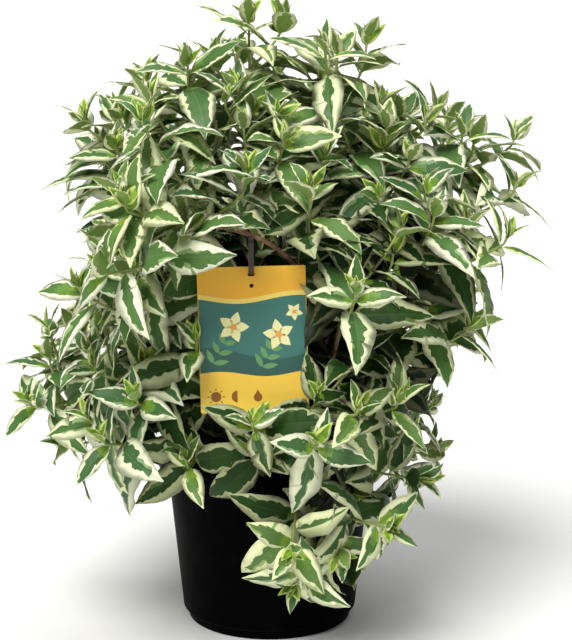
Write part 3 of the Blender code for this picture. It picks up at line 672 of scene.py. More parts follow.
# Leaf forms by age: rows, half-width, droop, fold, wave, margin's border, share of the blade that is
# still young and how many
LEAF_AGES = (
    (8, 0.215, (0.10, 0.50), (0.26, 0.52), 0.03, (0.50, 0.76), 1.0, 8),
    (14, 0.228, (0.25, 0.75), (0.10, 0.36), 0.07, (0.46, 0.76), 0.42, 10),
    (LEAF_ROWS, 0.212, (0.35, 0.95), (0.04, 0.32), 0.11, (0.42, 0.76), 0.10, 16),
    (LEAF_ROWS, 0.222, (0.45, 1.10), (0.00, 0.26), 0.14, (0.42, 0.78), 0.0, 16),
    (LEAF_ROWS, 0.212, (0.50, 1.10), (0.04, 0.34), 0.13, (0.14, 0.34), 0.0, 6),
)
PALE_AGE = 4


def make_leaf_forms():
    """Leaf forms by age, from the tip's folded young ones to old drooping ones and pale ones."""
    rng = random.Random(11)
    forms = []
    for rows, half_width, droops, folds, wave, margins, fresh, count in LEAF_AGES:
        group = []
        for _ in range(count):
            middle = rng.uniform(*margins)
            lean = rng.uniform(-0.13, 0.13)
            group.append(
                LeafForm(
                    rng, rows, half_width * rng.uniform(0.90, 1.10), rng.uniform(*droops),
                    rng.uniform(0.0, 0.30), rng.uniform(*folds), rng.uniform(-0.35, 0.35),
                    wave * rng.uniform(0.4, 1.3), (middle + lean, middle - lean),
                    rng.uniform(0.80, 1.10), fresh * rng.uniform(0.4, 1.2),
                )
            )
        forms.append(group)
    return forms


def guard_leaf(width, droop, guard):
    """The plain leaf of eight faces that the tests for room use."""
    corners = ((0.0, 0.0, guard), (0.0, 0.0, -guard), (0.38, width, 0.0), (0.38, -width, 0.0),
               (0.38, 0.0, guard + 0.01), (1.0, 0.0, 0.0))
    points = []
    for along, across, rise in corners:
        angle = droop * along
        points.append(
            Vector((math.sin(angle) / droop + rise * math.sin(angle), across,
                    (math.cos(angle) - 1) / droop + rise * math.cos(angle)))
        )
    faces = ((0, 2, 4), (0, 4, 3), (1, 4, 2), (1, 3, 4), (2, 5, 4), (4, 5, 3))
    return points, faces


class Room:
    """What stands in the way of new growth: the solids, the masses' spaces and earlier growth."""

    def __init__(self, centres):
        self.centres = centres
        self.placed = []
        self.solids = None

    def set_solids(self, meshes):
        """Keep clear of these solids, each a list of points and faces."""
        points = []
        faces = []
        for some_points, some_faces in meshes:
            start = len(points)
            points += some_points
            faces += [tuple(start + index for index in face) for face in some_faces]
        self.solids = BVHTree.FromPolygons(points, faces)

    def allows(self, points, faces, name, friends=None, border=SHARED_BORDER):
        """Whether a shape keeps to its mass's space and is clear of all but its friends."""
        middle = sum(points, Vector()) / len(points)
        reach = max((point - middle).length for point in points)
        if any(space_depth(point, name, self.centres) < -border for point in points):
            return False
        tree = BVHTree.FromPolygons(points, faces)
        if tree.overlap(self.solids):
            return False
        for other_name, node, other_middle, other_reach, other_tree in self.placed:
            if (middle - other_middle).length >= reach + other_reach:
                continue
            if other_name == name and (friends is None or node in friends):
                continue
            if tree.overlap(other_tree):
                return False
        return True

    def keep(self, points, faces, name, node=None):
        """Remember a shape, so that what comes later keeps clear of it."""
        middle = sum(points, Vector()) / len(points)
        reach = max((point - middle).length for point in points)
        tree = BVHTree.FromPolygons(points, faces)
        self.placed.append((name, node, middle, reach, tree))


def plain_tube(points, widths, sides=3):
    """Points and faces of a plain tube, for the tests for room."""
    made = []
    faces = []
    for index, point in enumerate(points):
        before = points[max(index - 1, 0)]
        after = points[min(index + 1, len(points) - 1)]
        axis = (after - before).normalized()
        side = axis.orthogonal().normalized()
        up = axis.cross(side)
        share = index / (len(points) - 1)
        radius = 0.5 * (widths[0] + (widths[1] - widths[0]) * share)
        for corner in range(sides):
            angle = 2 * math.pi * corner / sides
            made.append(point + (side * math.cos(angle) + up * math.sin(angle)) * radius)
    for index in range(len(points) - 1):
        for corner in range(sides):
            a = index * sides + corner
            b = index * sides + (corner + 1) % sides
            faces.append((a, b, b + sides, a + sides))
    return made, faces


class Line:
    """A path through points, with its length."""

    def __init__(self, points):
        self.points = points
        self.lengths = [0.0]
        for start, end in zip(points, points[1:]):
            self.lengths.append(self.lengths[-1] + (end - start).length)
        self.length = self.lengths[-1]

    def behind_tip(self, distance):
        """The point a distance back from the tip, and the heading there."""
        place = max(self.length - distance, 0.0)
        for index in range(len(self.points) - 1):
            if place <= self.lengths[index + 1] or index == len(self.points) - 2:
                start, end = self.points[index], self.points[index + 1]
                stretch = self.lengths[index + 1] - self.lengths[index]
                share = (place - self.lengths[index]) / stretch
                return start.lerp(end, share), (end - start).normalized()
        return self.points[-1], (self.points[-1] - self.points[-2]).normalized()


class TubeMaker:
    """Gathers round tapering tubes into one mesh."""

    def __init__(self, sides):
        self.sides = sides
        self.points = []
        self.quads = []
        self.slots = []

    def add(self, points, radii, slot=0, relief=None):
        """One tube through some points. Relief gives a share of the radius by ring and side."""
        sides = self.sides
        start = len(self.points)
        axis = (points[1] - points[0]).normalized()
        side = axis.orthogonal().normalized()
        for index, point in enumerate(points):
            before = points[max(index - 1, 0)]
            after = points[min(index + 1, len(points) - 1)]
            axis = (after - before).normalized()
            side = (side - axis * side.dot(axis)).normalized()
            up = axis.cross(side)
            for corner in range(sides):
                angle = 2 * math.pi * corner / sides
                radius = radii[index]
                if relief:
                    radius *= 1 + relief(index, corner)
                self.points.append(point + (side * math.cos(angle) + up * math.sin(angle)) * radius)
        for index in range(len(points) - 1):
            for corner in range(sides):
                a = start + index * sides + corner
                b = start + index * sides + (corner + 1) % sides
                self.quads.append((a, b, b + sides, a + sides))
                self.slots.append(slot)
        last = start + (len(points) - 1) * sides
        for first in (start, last):
            for corner in range(1, sides - 1, 2):
                ring = [first, first + corner, first + corner + 1, first + (corner + 2) % sides]
                if first == start:
                    ring = ring[::-1]
                self.quads.append(tuple(ring))
                self.slots.append(slot)

    def build(self, name):
        """The gathered tubes as one mesh."""
        return mesh_from_arrays(name, [tuple(p) for p in self.points], np.array(self.quads), np.array(self.slots))


def build_camera():
    """Camera at the photograph's place and angle."""
    data = bpy.data.cameras.new("camera")
    data.sensor_fit = "VERTICAL"
    data.sensor_height = SENSOR_HEIGHT
    data.lens = FOCAL_PIXELS / PHOTO_HEIGHT * SENSOR_HEIGHT
    data.clip_end = 2 * FLOOR_REACH
    camera = bpy.data.objects.new("camera", data)
    bpy.context.scene.collection.objects.link(camera)
    camera.location = (0.0, -CAMERA_DISTANCE, CAMERA_HEIGHT)
    camera.rotation_euler = (math.radians(90) - CAMERA_PITCH, 0.0, -CAMERA_TURN)
    bpy.context.scene.camera = camera


def add_light(name, place, strength, spread, colour=(1.0, 1.0, 1.0)):
    """Soft studio light from far off, on the side that a place gives."""
    data = bpy.data.lights.new(name, "SUN")
    data.energy = strength
    data.angle = math.radians(spread)
    data.color = colour
    light = bpy.data.objects.new(name, data)
    bpy.context.scene.collection.objects.link(light)
    light.location = place
    light.rotation_euler = Vector(place).to_track_quat("Z", "Y").to_euler()


def build_surround():
    """Pale surround that closes the view past the floor. It gives no light and throws no shadow."""
    bm = bmesh.new()
    bmesh.ops.create_uvsphere(bm, u_segments=64, v_segments=32, radius=0.98 * FLOOR_REACH)
    mesh = bpy.data.meshes.new("surround")
    bm.to_mesh(mesh)
    bm.free()
    surround = bpy.data.objects.new("surround", mesh)
    bpy.context.scene.collection.objects.link(surround)
    material, tree, shader = new_material("surround", (0.0, 0.0, 0.0), 1.0)
    shader.inputs["Specular IOR Level"].default_value = 0.0
    shader.inputs["Emission Color"].default_value = (1.0, 1.0, 1.0, 1.0)
    shader.inputs["Emission Strength"].default_value = 1.0
    mesh.materials.append(material)
    surround.visible_diffuse = False
    surround.visible_glossy = False
    surround.visible_transmission = False
    surround.visible_volume_scatter = False
    surround.visible_shadow = False


def build_stage():
    """Pale floor, pale surroundings and soft studio light."""
    bm = bmesh.new()
    bmesh.ops.create_grid(bm, x_segments=1, y_segments=1, size=FLOOR_REACH)
    mesh = bpy.data.meshes.new("floor")
    bm.to_mesh(mesh)
    bm.free()
    floor = bpy.data.objects.new("floor", mesh)
    bpy.context.scene.collection.objects.link(floor)
    material, tree, shader = new_material("floor", (0.86, 0.86, 0.85), 0.9)
    mesh.materials.append(material)
    build_surround()
    world = bpy.data.worlds.new("studio")
    world.use_nodes = True
    background = world.node_tree.nodes["Background"]
    background.inputs["Color"].default_value = (0.97, 0.985, 1.0, 1.0)
    background.inputs["Strength"].default_value = 0.13
    bpy.context.scene.world = world
    bpy.context.scene.view_settings.view_transform = "Standard"
    add_light("key", (-0.46, -0.92, 1.45), 3.55, 34, (1.0, 0.985, 0.95))
    add_light("top_fill", (0.25, 0.45, 1.40), 1.35, 60)


def soften(profile, cut):
    """The profile with each of its inner corners rounded off a little."""
    made = [profile[0]]
    for before, corner, after in zip(profile, profile[1:], profile[2:]):
        corner = Vector(corner)
        ends = []
        for other in (Vector(before), Vector(after)):
            away = other - corner
            ends.append(corner + away * min(cut / away.length, 0.45))
        for share in (0.0, 0.25, 0.5, 0.75, 1.0):
            rest = 1 - share
            point = ends[0] * rest**2 + corner * (2 * rest * share) + ends[1] * share**2
            made.append(tuple(point))
    made.append(profile[-1])
    return made


def link_object(name, mesh):
    """A working object."""
    made = bpy.data.objects.new(name, mesh)
    bpy.context.scene.collection.objects.link(made)
    return made


def turned_with_holes(name, profile, sides, holes):
    """A closed turned shape, cut by some upright round holes: each a centre and a radius."""
    mesh = bpy.data.meshes.new(f"{name}_profile")
    points = [(radius, 0.0, height) for radius, height in profile]
    mesh.from_pydata(points, [(index, index + 1) for index in range(len(points) - 1)], [])
    shape = link_object(f"{name}_turning", mesh)
    screw = shape.modifiers.new("turn", "SCREW")
    screw.steps = sides
    screw.render_steps = sides
    screw.use_merge_vertices = True
    screw.merge_threshold = 0.000001
    screw.use_normal_calculate = True
    bm = bmesh.new()
    for (x, y), radius in holes:
        made = bmesh.ops.create_cone(bm, cap_ends=True, segments=24, radius1=radius, radius2=radius, depth=0.02)
        bmesh.ops.translate(bm, verts=made["verts"], vec=(x, y, 0.0))
    cutter_mesh = bpy.data.meshes.new(f"{name}_cutter")
    bm.to_mesh(cutter_mesh)
    bm.free()
    cutter = link_object(f"{name}_cutter", cutter_mesh)
    cut = shape.modifiers.new("holes", "BOOLEAN")
    cut.operation = "DIFFERENCE"
    cut.solver = "EXACT"
    cut.object = cutter
    bpy.context.view_layer.update()
    whole = shape.evaluated_get(bpy.context.evaluated_depsgraph_get())
    result = bpy.data.meshes.new_from_object(whole)
    result.name = name
    for used in (shape, cutter):
        bpy.data.objects.remove(used)
    result.materials.clear()
    return result


def build_pot():
    """Smooth black pot with a stepped foot, a band under its lip and drain holes."""
    band_bottom = POT_HEIGHT - BAND_HEIGHT
    lip_bottom = POT_HEIGHT - LIP_HEIGHT
    profile = [
        (0.0, POT_FLOOR),
        (FOOT_RADIUS - POT_WALL, POT_FLOOR),
        (FOOT_SHOULDER_RADIUS - POT_WALL, FOOT_HEIGHT),
        (WALL_LOW_RADIUS - POT_WALL, FOOT_HEIGHT + POT_WALL),
        (WALL_HIGH_RADIUS - POT_WALL, band_bottom),
        (BAND_RADIUS - POT_WALL, band_bottom + BAND_SHOULDER),
        (BAND_RADIUS - POT_WALL, POT_HEIGHT),
        (LIP_RADIUS, POT_HEIGHT),
        (LIP_RADIUS, lip_bottom),
        (BAND_RADIUS, lip_bottom - 0.0010),
        (BAND_RADIUS, band_bottom + BAND_SHOULDER - POT_WALL),
        (WALL_HIGH_RADIUS, band_bottom - POT_WALL),
        (WALL_LOW_RADIUS, FOOT_HEIGHT),
        (FOOT_SHOULDER_RADIUS, FOOT_HEIGHT - POT_WALL),
        (FOOT_RADIUS, 0.0),
        (0.0, 0.0),
    ]
    turn = 2 * math.pi / DRAIN_HOLES
    places = [(index + 0.5) * turn for index in range(DRAIN_HOLES)]
    holes = [
        ((DRAIN_RING_RADIUS * math.cos(angle), DRAIN_RING_RADIUS * math.sin(angle)), DRAIN_RADIUS)
        for angle in places
    ]
    mesh = turned_with_holes("pot_body", soften(profile, 0.0012), 192, holes)
    mesh.shade_smooth()
    mesh.set_sharp_from_angle(angle=math.radians(38))
    material, tree, shader = new_material("pot_plastic", (0.0010, 0.0010, 0.0013), 0.55)
    dust = add_noise(tree, 38.0, 7.0)
    tree.links.new(
        add_ramp(tree, dust, ((0.35, (0.0007, 0.0007, 0.0010)), (0.62, (0.0012, 0.0012, 0.0015)),
                              (0.85, (0.0040, 0.0036, 0.0032)))),
        shader.inputs["Base Color"],
    )
    tree.links.new(add_range(tree, add_noise(tree, 30.0, 6.0), 0.40, 0.66), shader.inputs["Roughness"])
    add_bump(tree, shader, add_noise(tree, 600.0, 3.0), 0.0002, 0.20)
    shader.inputs["Specular IOR Level"].default_value = 0.016
    make_object("pot_body", mesh, [material], ("pot",), smooth=False)


def build_mix():
    """Crumbs of bark and fibre on the potting mix."""
    rng = random.Random(5)
    points = []
    quads = []
    slots = []
    inner = CROWN_RADIUS + 0.001
    outer = BAND_RADIUS - POT_WALL - 0.004
    for _ in range(2600):
        radius = math.sqrt(rng.uniform(inner**2, outer**2))
        angle = rng.uniform(0, 2 * math.pi)
        share = (radius - inner) / (outer - inner)
        level = MIX_EDGE_LEVEL + MIX_RISE * (1 - share)
        size = rng.uniform(0.0012, 0.0042)
        turn = Matrix.Rotation(rng.uniform(0, 6.28), 3, "Z") @ Matrix.Rotation(rng.uniform(-0.9, 0.9), 3, "X")
        long = rng.uniform(0.8, 2.2)
        start = len(points)
        middle = Vector((radius * math.cos(angle), radius * math.sin(angle), level + 0.15 * size))
        for x in (-1, 1):
            for y in (-1, 1):
                for z in (-1, 1):
                    corner = Vector((x * size * long, y * size * 0.7, z * size * 0.42))
                    corner *= rng.uniform(0.55, 1.0)
                    points.append(tuple(middle + turn @ corner))
        for face in ((0, 1, 3, 2), (4, 6, 7, 5), (0, 4, 5, 1), (2, 3, 7, 6), (0, 2, 6, 4), (1, 5, 7, 3)):
            quads.append(tuple(start + index for index in face))
        slots += [rng.randrange(3)] * 6
    mesh = mesh_from_arrays("mix_crumbs", points, np.array(quads), np.array(slots))
    colours = ((0.030, 0.020, 0.014), (0.060, 0.038, 0.024), (0.105, 0.066, 0.040))
    materials = []
    for index, colour in enumerate(colours):
        material, tree, shader = new_material(f"mix_crumb_{index + 1}", colour, 0.92)
        add_bump(tree, shader, add_noise(tree, 500.0, 5.0), 0.0006, 0.8)
        materials.append(material)
    make_object("mix_crumbs", mesh, materials, smooth=False)
    material, tree, shader = new_material("mix_ground", (0.045, 0.030, 0.020), 0.95)
    grain = add_noise(tree, 260.0, 8.0)
    stops = ((0.30, (0.016, 0.011, 0.008)), (0.55, (0.048, 0.031, 0.020)), (0.75, (0.110, 0.072, 0.045)))
    tree.links.new(add_ramp(tree, grain, stops), shader.inputs["Base Color"])
    add_bump(tree, shader, grain, 0.002, 0.9)
    node = NODES["potting_mix"]
    for index in range(len(node.material_slots)):
        node.material_slots[index].material = material


def build_crown(material):
    """Knobbly woody crown."""
    rings, sides = 22, 48
    rng = random.Random(8)
    knobs = [(direction(rng.uniform(0, 6.28), rng.uniform(0.1, 1.5)), rng.uniform(0.25, 0.5)) for _ in range(26)]
    points = []
    for ring in range(rings + 1):
        lean = 0.5 * math.pi * ring / rings
        for index in range(sides):
            angle = 2 * math.pi * index / sides
            out = direction(angle, max(lean, 0.02))
            radius = CROWN_RADIUS - 0.0016
            for knob, spread in knobs:
                near = (out - knob).length / spread
                if near < 1:
                    radius += 0.0013 * (1 - near**2) ** 2
            radius += 0.0005 * math.sin(9 * angle + 3 * math.sin(4 * lean))
            radius = min(radius, CROWN_RADIUS)
            points.append(tuple(Vector((0, 0, CROWN_LEVEL)) + out * radius))
    for index in range(sides):
        angle = 2 * math.pi * index / sides
        radius = CROWN_RADIUS - 0.0012
        points.append((radius * math.cos(angle), radius * math.sin(angle), CROWN_LEVEL - 0.018))
    quads = []
    for ring in range(rings + 1):
        for index in range(sides):
            a = ring * sides + index
            b = ring * sides + (index + 1) % sides
            quads.append((a, a + sides, b + sides, b))
    mesh = mesh_from_arrays("crown_bark", points, np.array(quads))
    make_object("crown_bark", mesh, [material], ("crown_stem",))


def cane_relief(rng):
    """Long ridges of bark that wander round a cane."""
    lows = rng.uniform(0, 6.28), rng.uniform(0, 6.28)

    def relief(index, corner):
        angle = 2 * math.pi * corner / 10
        return 0.06 * math.sin(3 * angle + 0.22 * index + lows[0]) + 0.035 * math.sin(
            5 * angle - 0.35 * index + lows[1]
        )

    return relief


def build_canes(routes, entries, bark):
    """One piece for each bough, with ridged bark and swollen joints."""
    for name, route in routes.items():
        rng = random.Random(f"{name} bark")
        steps = 54
        points = route.stretch(0.0, entries[name], steps)
        radii = []
        travelled = 0.0
        for index, point in enumerate(points):
            if index:
                travelled += (point - points[index - 1]).length
            share = index / steps
            width = CANE_FOOT_WIDTH + (CANE_ENTRY_WIDTH - CANE_FOOT_WIDTH) * share
            near = abs((travelled % 0.042) - 0.021) - 0.021
            swell = 1 + 0.20 * math.exp(-((near / 0.0022) ** 2))
            flare = 1 + 0.30 * math.exp(-((travelled / 0.006) ** 2))
            radii.append(0.5 * width * 0.94 * swell * flare)
        maker = TubeMaker(10)
        maker.add(points, radii, 0, cane_relief(rng))
        make_object(f"{name}_cane", maker.build(f"{name}_cane"), [bark], (f"{name}_bough",))


def grown_on(points, run, pull):
    """A shoot's points, carried on past its end and turned up towards the light."""
    made = list(points)
    heading = (points[-1] - points[-2]).normalized()
    steps = 5
    for _ in range(steps):
        heading = heading.lerp(Vector((0.0, 0.0, 1.0)), pull / steps * 2).normalized()
        made.append(made[-1] + heading * (run / steps))
    return made


class Spray:
    """One mass of foliage while it grows."""

    def __init__(self, name, room):
        self.name = name
        self.room = room
        self.rng = random.Random(name)
        self.stem_run, self.fork_run, self.reach, self.spacing, self.leaf_size, draw = GROWTH[name]
        self.fine = random.Random(f"{name} fine {draw}")
        self.shoots = []
        self.leaves = []

    def add_shoot(self, points, widths, label, turn, order):
        """A shoot through some points, unless it would leave the space or touch."""
        plain, faces = plain_tube(points, [width + 0.001 for width in widths])
        if label != "stem" and not self.room.allows(plain, faces, self.name):
            return False
        self.room.keep(plain, faces, self.name, label)
        self.shoots.append({"line": Line(points), "widths": widths, "label": label, "turn": turn,
                            "order": order, "nodes": []})
        return True


def side_route(start, axis, length, turn):
    """A side shoot's path: out from its stem, then lifted towards the light."""
    side = axis.orthogonal().normalized()
    side.rotate(Matrix.Rotation(turn, 3, axis))
    heading = axis * math.cos(SIDE_SHOOT_SPLAY) + side * math.sin(SIDE_SHOOT_SPLAY)
    arrival = (heading + Vector((0.0, 0.0, SIDE_SHOOT_LIFT)) + axis * SIDE_SHOOT_LIFT).normalized()
    end = start + (heading + arrival).normalized() * length
    return Route(start, heading, end, arrival)


def grow_shoots(spray, route, entry):
    """Stem, fork and side shoots of one mass."""
    start = entry + STEM_CLEAR / route.slope(entry).length
    shoot_widths = (SHOOT_WIDTH, SHOOT_TIP_WIDTH)
    pull = LIGHT_PULL * (1 - lowness(LEADING_TIPS[spray.name][0]))
    stem = grown_on(route.stretch(start, 1.0, 14), spray.stem_run, pull)
    stem_turn = spray.rng.uniform(0, math.pi)
    spray.add_shoot(stem, (CANE_ENTRY_WIDTH * 0.92, SHOOT_TIP_WIDTH), "stem", stem_turn, 0)
    stem_line = spray.shoots[0]["line"]
    for tip in LEADING_TIPS[spray.name][1:]:
        root, heading = stem_line.behind_tip(stem_line.length * (1 - FORK_PLACE))
        arm = Route(root, heading, tip_point(tip), tip_direction(tip)).stretch(0.0, 1.0, 12)
        arm = grown_on(arm, spray.fork_run, pull)
        spray.add_shoot(arm, shoot_widths, "fork", spray.rng.uniform(0, math.pi), 0)
    turn = spray.rng.uniform(0, 2 * math.pi)
    count = FEW_SHOOTS.get(spray.name, SIDE_SHOOTS)
    for index in range(count):
        share = (index + 0.5) / count
        place = LOWEST_SHOOT + (HIGHEST_SHOOT - LOWEST_SHOOT) * share
        root, heading = stem_line.behind_tip(stem_line.length * (1 - place))
        length = SIDE_SHOOT_LONGEST + (SIDE_SHOOT_SHORTEST - SIDE_SHOOT_LONGEST) * share
        length *= spray.reach
        for attempt in range(SHOOT_TRIES):
            turn += GOLDEN_ANGLE
            side = side_route(root, heading, length * SHORTER**attempt, turn)
            points = grown_on(side.stretch(0.0, 1.0, 9), SIDE_RUN, pull)
            if spray.add_shoot(points, shoot_widths, f"shoot_{index + 1}", turn, 1):
                break


# Ages along a shoot: distance behind the tip, size, angle from the shoot, age of the leaf form
PAIR_AGES = (
    (0.0004, 0.20, math.radians(6), 0),
    (0.0014, 0.29, math.radians(13), 0),
    (0.0045, 0.43, math.radians(30), 1),
    (0.0130, 0.66, math.radians(60), 1),
    (0.0270, 0.86, math.radians(77), 2),
    (0.0450, 0.95, math.radians(84), 2),
)
OLD_SPLAY = (math.radians(82), math.radians(100))
# Share of leaves that are nearly all pale, where it is more than a few
PALE_SHARES = {
    "right_skirt": 0.30, "right_spray": 0.20, "left_low": 0.12, "crest_left": 0.20, "crest_right": 0.16,
    "back_crest": 0.12, "upper_left": 0.12, "left_shoulder": 0.12, "left_middle": 0.14,
}
# Masses under others, and how much deeper in the painted shade that puts their leaves
PAINTED_SHADE_OFFSETS = {
    "crest_left": -0.030, "crest_right": -0.030, "back_crest": -0.020, "upper_left": -0.022,
    "left_shoulder": -0.022, "left_middle": -0.020, "left_low": -0.008, "left_front": 0.010,
    "front_top": -0.012, "front_upper": -0.006, "front_right": 0.052, "front_skirt": 0.046,
    "right_shoulder": -0.010, "right_outer": -0.006, "right_middle": 0.060, "right_low": 0.060,
    "back_right": 0.050, "back_low": 0.034, "back_left_high": -0.014, "back_right_high": -0.010,
}
# Masses with fewer side shoots, so that the sky shows between their stems
FEW_SHOOTS = {"crest_left": 3, "crest_right": 3, "back_crest": 4, "front_right": 2}
# How each mass is carried on: how far its stem and its fork grow past the source's tips, the share
# of the source's length that its side shoots have, the spacing of its pairs and the size of its
# leaves as shares of the usual ones, and the draw of their small differences
GROWTH = {
    "crest_left": (0.052, 0.030, 0.72, 1.173, 1.022, 177),
    "crest_right": (0.019, 0.014, 0.72, 1.190, 1.025, 331),
    "upper_left": (0.014, 0.016, 1.00, 1.000, 1.000, 137),
    "left_shoulder": (0.014, 0.014, 0.61, 0.973, 1.000, 329),
    "left_middle": (0.014, 0.019, 1.00, 1.004, 0.983, 298),
    "left_low": (0.031, 0.014, 0.81, 1.100, 0.876, 0),
    "left_front": (0.014, 0.016, 1.00, 1.116, 1.000, 10),
    "front_top": (0.014, 0.014, 0.90, 1.000, 1.000, 0),
    "front_upper": (0.014, 0.014, 1.00, 1.000, 1.000, 0),
    "front_right": (0.014, 0.029, 1.00, 1.201, 1.000, 263),
    "right_shoulder": (0.014, 0.018, 1.00, 1.018, 1.001, 0),
    "right_outer": (0.014, 0.016, 0.87, 1.000, 1.011, 0),
    "right_middle": (0.014, 0.014, 1.00, 0.993, 1.000, 0),
    "right_low": (0.014, 0.014, 1.00, 0.983, 1.061, 140),
    "right_spray": (0.004, 0.004, 0.86, 1.026, 0.604, 116),
    "front_skirt": (0.004, 0.019, 0.98, 1.000, 0.982, 359),
    "right_skirt": (0.014, 0.014, 0.94, 1.157, 1.000, 156),
    "back_crest": (0.014, 0.004, 0.98, 1.362, 0.936, 0),
    "back_left_high": (0.014, 0.014, 1.00, 1.159, 1.025, 16),
    "back_right_high": (0.016, 0.013, 1.00, 0.965, 1.036, 361),
    "back_left": (0.034, 0.022, 0.79, 0.800, 1.000, 250),
    "back_right": (0.014, 0.017, 1.04, 1.000, 1.004, 106),
    "back_middle": (0.014, 0.014, 1.00, 1.000, 1.000, 0),
    "back_low": (0.014, 0.014, 1.00, 1.000, 1.000, 0),
}


def add_pair(spray, shoot, behind, size, splay, age, number, guards, seat=0.0):
    """One opposite pair of leaves on a shoot, each seated off its axis on request."""
    line = shoot["line"]
    behind *= spray.spacing
    size *= spray.leaf_size
    if behind > line.length * 0.96:
        return
    root, axis = line.behind_tip(behind)
    side = axis.orthogonal().normalized()
    side.rotate(Matrix.Rotation(shoot["turn"] + 0.5 * math.pi * number, 3, axis))
    rng = spray.fine
    shoot["nodes"].append(behind)
    pale_share = PALE_SHARES.get(spray.name, 0.03)
    for sign in (1, -1):
        spread = splay + rng.uniform(-0.14, 0.14)
        heading = axis * math.cos(spread) + side * (sign * math.sin(spread))
        if age > 1 and heading.z > MOST_CLIMB:
            heading.z = MOST_CLIMB
            heading.normalize()
        outward = (root - PLANT_MIDDLE).normalized()
        face_up = axis * FACE_TO_TIP + Vector((0.0, 0.0, FACE_TO_SKY)) + outward * FACE_OUTWARD
        length = LEAF_LENGTH * size * rng.uniform(0.86, 1.12)
        width, droop = guards[age]
        points, faces = guard_leaf(width, droop, LEAF_GUARD / length)
        for roll, swing in ((0.0, 0.0), (0.3, 0.25), (-0.3, -0.25), (0.5, 0.55), (-0.5, -0.55), (0.2, -0.8)):
            along = heading.copy()
            upper = (face_up - along * face_up.dot(along)).normalized()
            upper.rotate(Matrix.Rotation(roll + rng.uniform(-0.12, 0.12), 3, along))
            along.rotate(Matrix.Rotation(swing * sign, 3, upper))
            placing = Matrix((along, upper.cross(along), upper)).transposed().to_4x4()
            placing.translation = root + along * seat
            placing = placing @ Matrix.Scale(length, 4)
            placed = [placing @ point for point in points]
            friends = (shoot["label"], (shoot["label"], number))
            border = CANE_BORDER if seat else SHARED_BORDER
            if spray.room.allows(placed, faces, spray.name, friends, border):
                spray.room.keep(placed, faces, spray.name, (shoot["label"], number))
                grown = PALE_AGE if age > 1 and rng.random() < pale_share else age
                if seat:
                    placing.translation -= along * CANE_LEAF_SINK
                spray.leaves.append((placing, grown, shoot["label"]))
                break


def grow_leaves(sprays, guards):
    """Leaves on all masses by turns, a pair at a time from the tips back."""
    rounds = []
    for number, (behind, size, splay, age) in enumerate(PAIR_AGES):
        rounds.append((behind, size, splay, age, number))
    behind = PAIR_AGES[-1][0]
    number = len(PAIR_AGES)
    while behind < 0.30:
        behind += PAIR_SPACING
        share = min(behind / 0.16, 1.0)
        splay = OLD_SPLAY[0] + (OLD_SPLAY[1] - OLD_SPLAY[0]) * share
        rounds.append((behind, 0.97 - 0.07 * share, splay, 3, number))
        number += 1
    for behind, size, splay, age, number in rounds:
        for index in range(8):
            for spray in sprays:
                if index < len(spray.shoots):
                    add_pair(spray, spray.shoots[index], behind, size, splay, age, number, guards)


def grow_cane_leaves(spray, route, entry, guards):
    """Old leaves on the upper part of a bough, seated on its bark."""
    line = Line(route.stretch(0.0, entry, 40))
    cane = {"line": line, "label": "cane", "turn": spray.fine.uniform(0, math.pi), "nodes": []}
    for number in range(CANE_PAIRS):
        behind = (number + 0.5) * CANE_PAIR_SPACING
        share = 1 - behind / line.length
        radius = 0.5 * (CANE_FOOT_WIDTH + (CANE_ENTRY_WIDTH - CANE_FOOT_WIDTH) * share)
        size = CANE_LEAF_SIZE / spray.leaf_size
        add_pair(spray, cane, behind / spray.spacing, size, OLD_SPLAY[0], 3, number, guards,
                 radius + 2 * LEAF_GUARD)


def build_leaves(spray, forms, materials):
    """The mass's leaves as one piece. Each shoot has its own tint; leaves on the canes and deep in the crown take
    painted shade tints.
    """
    rng = random.Random(f"{spray.name} tints")
    tints = {shoot["label"]: rng.randrange(YOUNG) for shoot in spray.shoots}
    # Leaves on the canes take a painted shade tint.
    tints["cane"] = PAINTED_SHADE
    reach = max((tip_point(tip) - PLANT_MIDDLE).length for tip in LEADING_TIPS[spray.name])
    shade = PAINTED_SHADE_OFFSETS.get(spray.name, 0.0)
    points = []
    quads = []
    slots = []
    count = 0
    for placing, age, label in spray.leaves:
        group = forms[age]
        form = group[rng.randrange(len(group))]
        turned = np.array(placing)
        points.append(form.points @ turned[:3, :3].T + turned[:3, 3])
        quads.append(form.quads + count)
        root = placing.translation
        # Painted shade: leaves rooted deep in the crown, low down or under other masses get darker tints.
        depth = reach - (root - PLANT_MIDDLE).length + SHADE_SLOPE * (SHADE_LEVEL - root.z) + shade
        tint = tints[label]
        if age == 0:
            tint = YOUNG
        elif depth > PAINTED_DEEP_SHADE_FROM:
            tint = PAINTED_DEEP_SHADE
        elif depth > PAINTED_SHADE_FROM:
            tint = PAINTED_SHADE
        slots.append(slots_of(tint)[form.kinds])
        count += len(form.points)
    mesh = mesh_from_arrays(
        f"{spray.name}_leaves", np.concatenate(points), np.concatenate(quads), np.concatenate(slots)
    )
    make_object(f"{spray.name}_leaves", mesh, materials, (f"{spray.name}_foliage",))
    return len(spray.leaves), 2 * len(mesh.polygons)


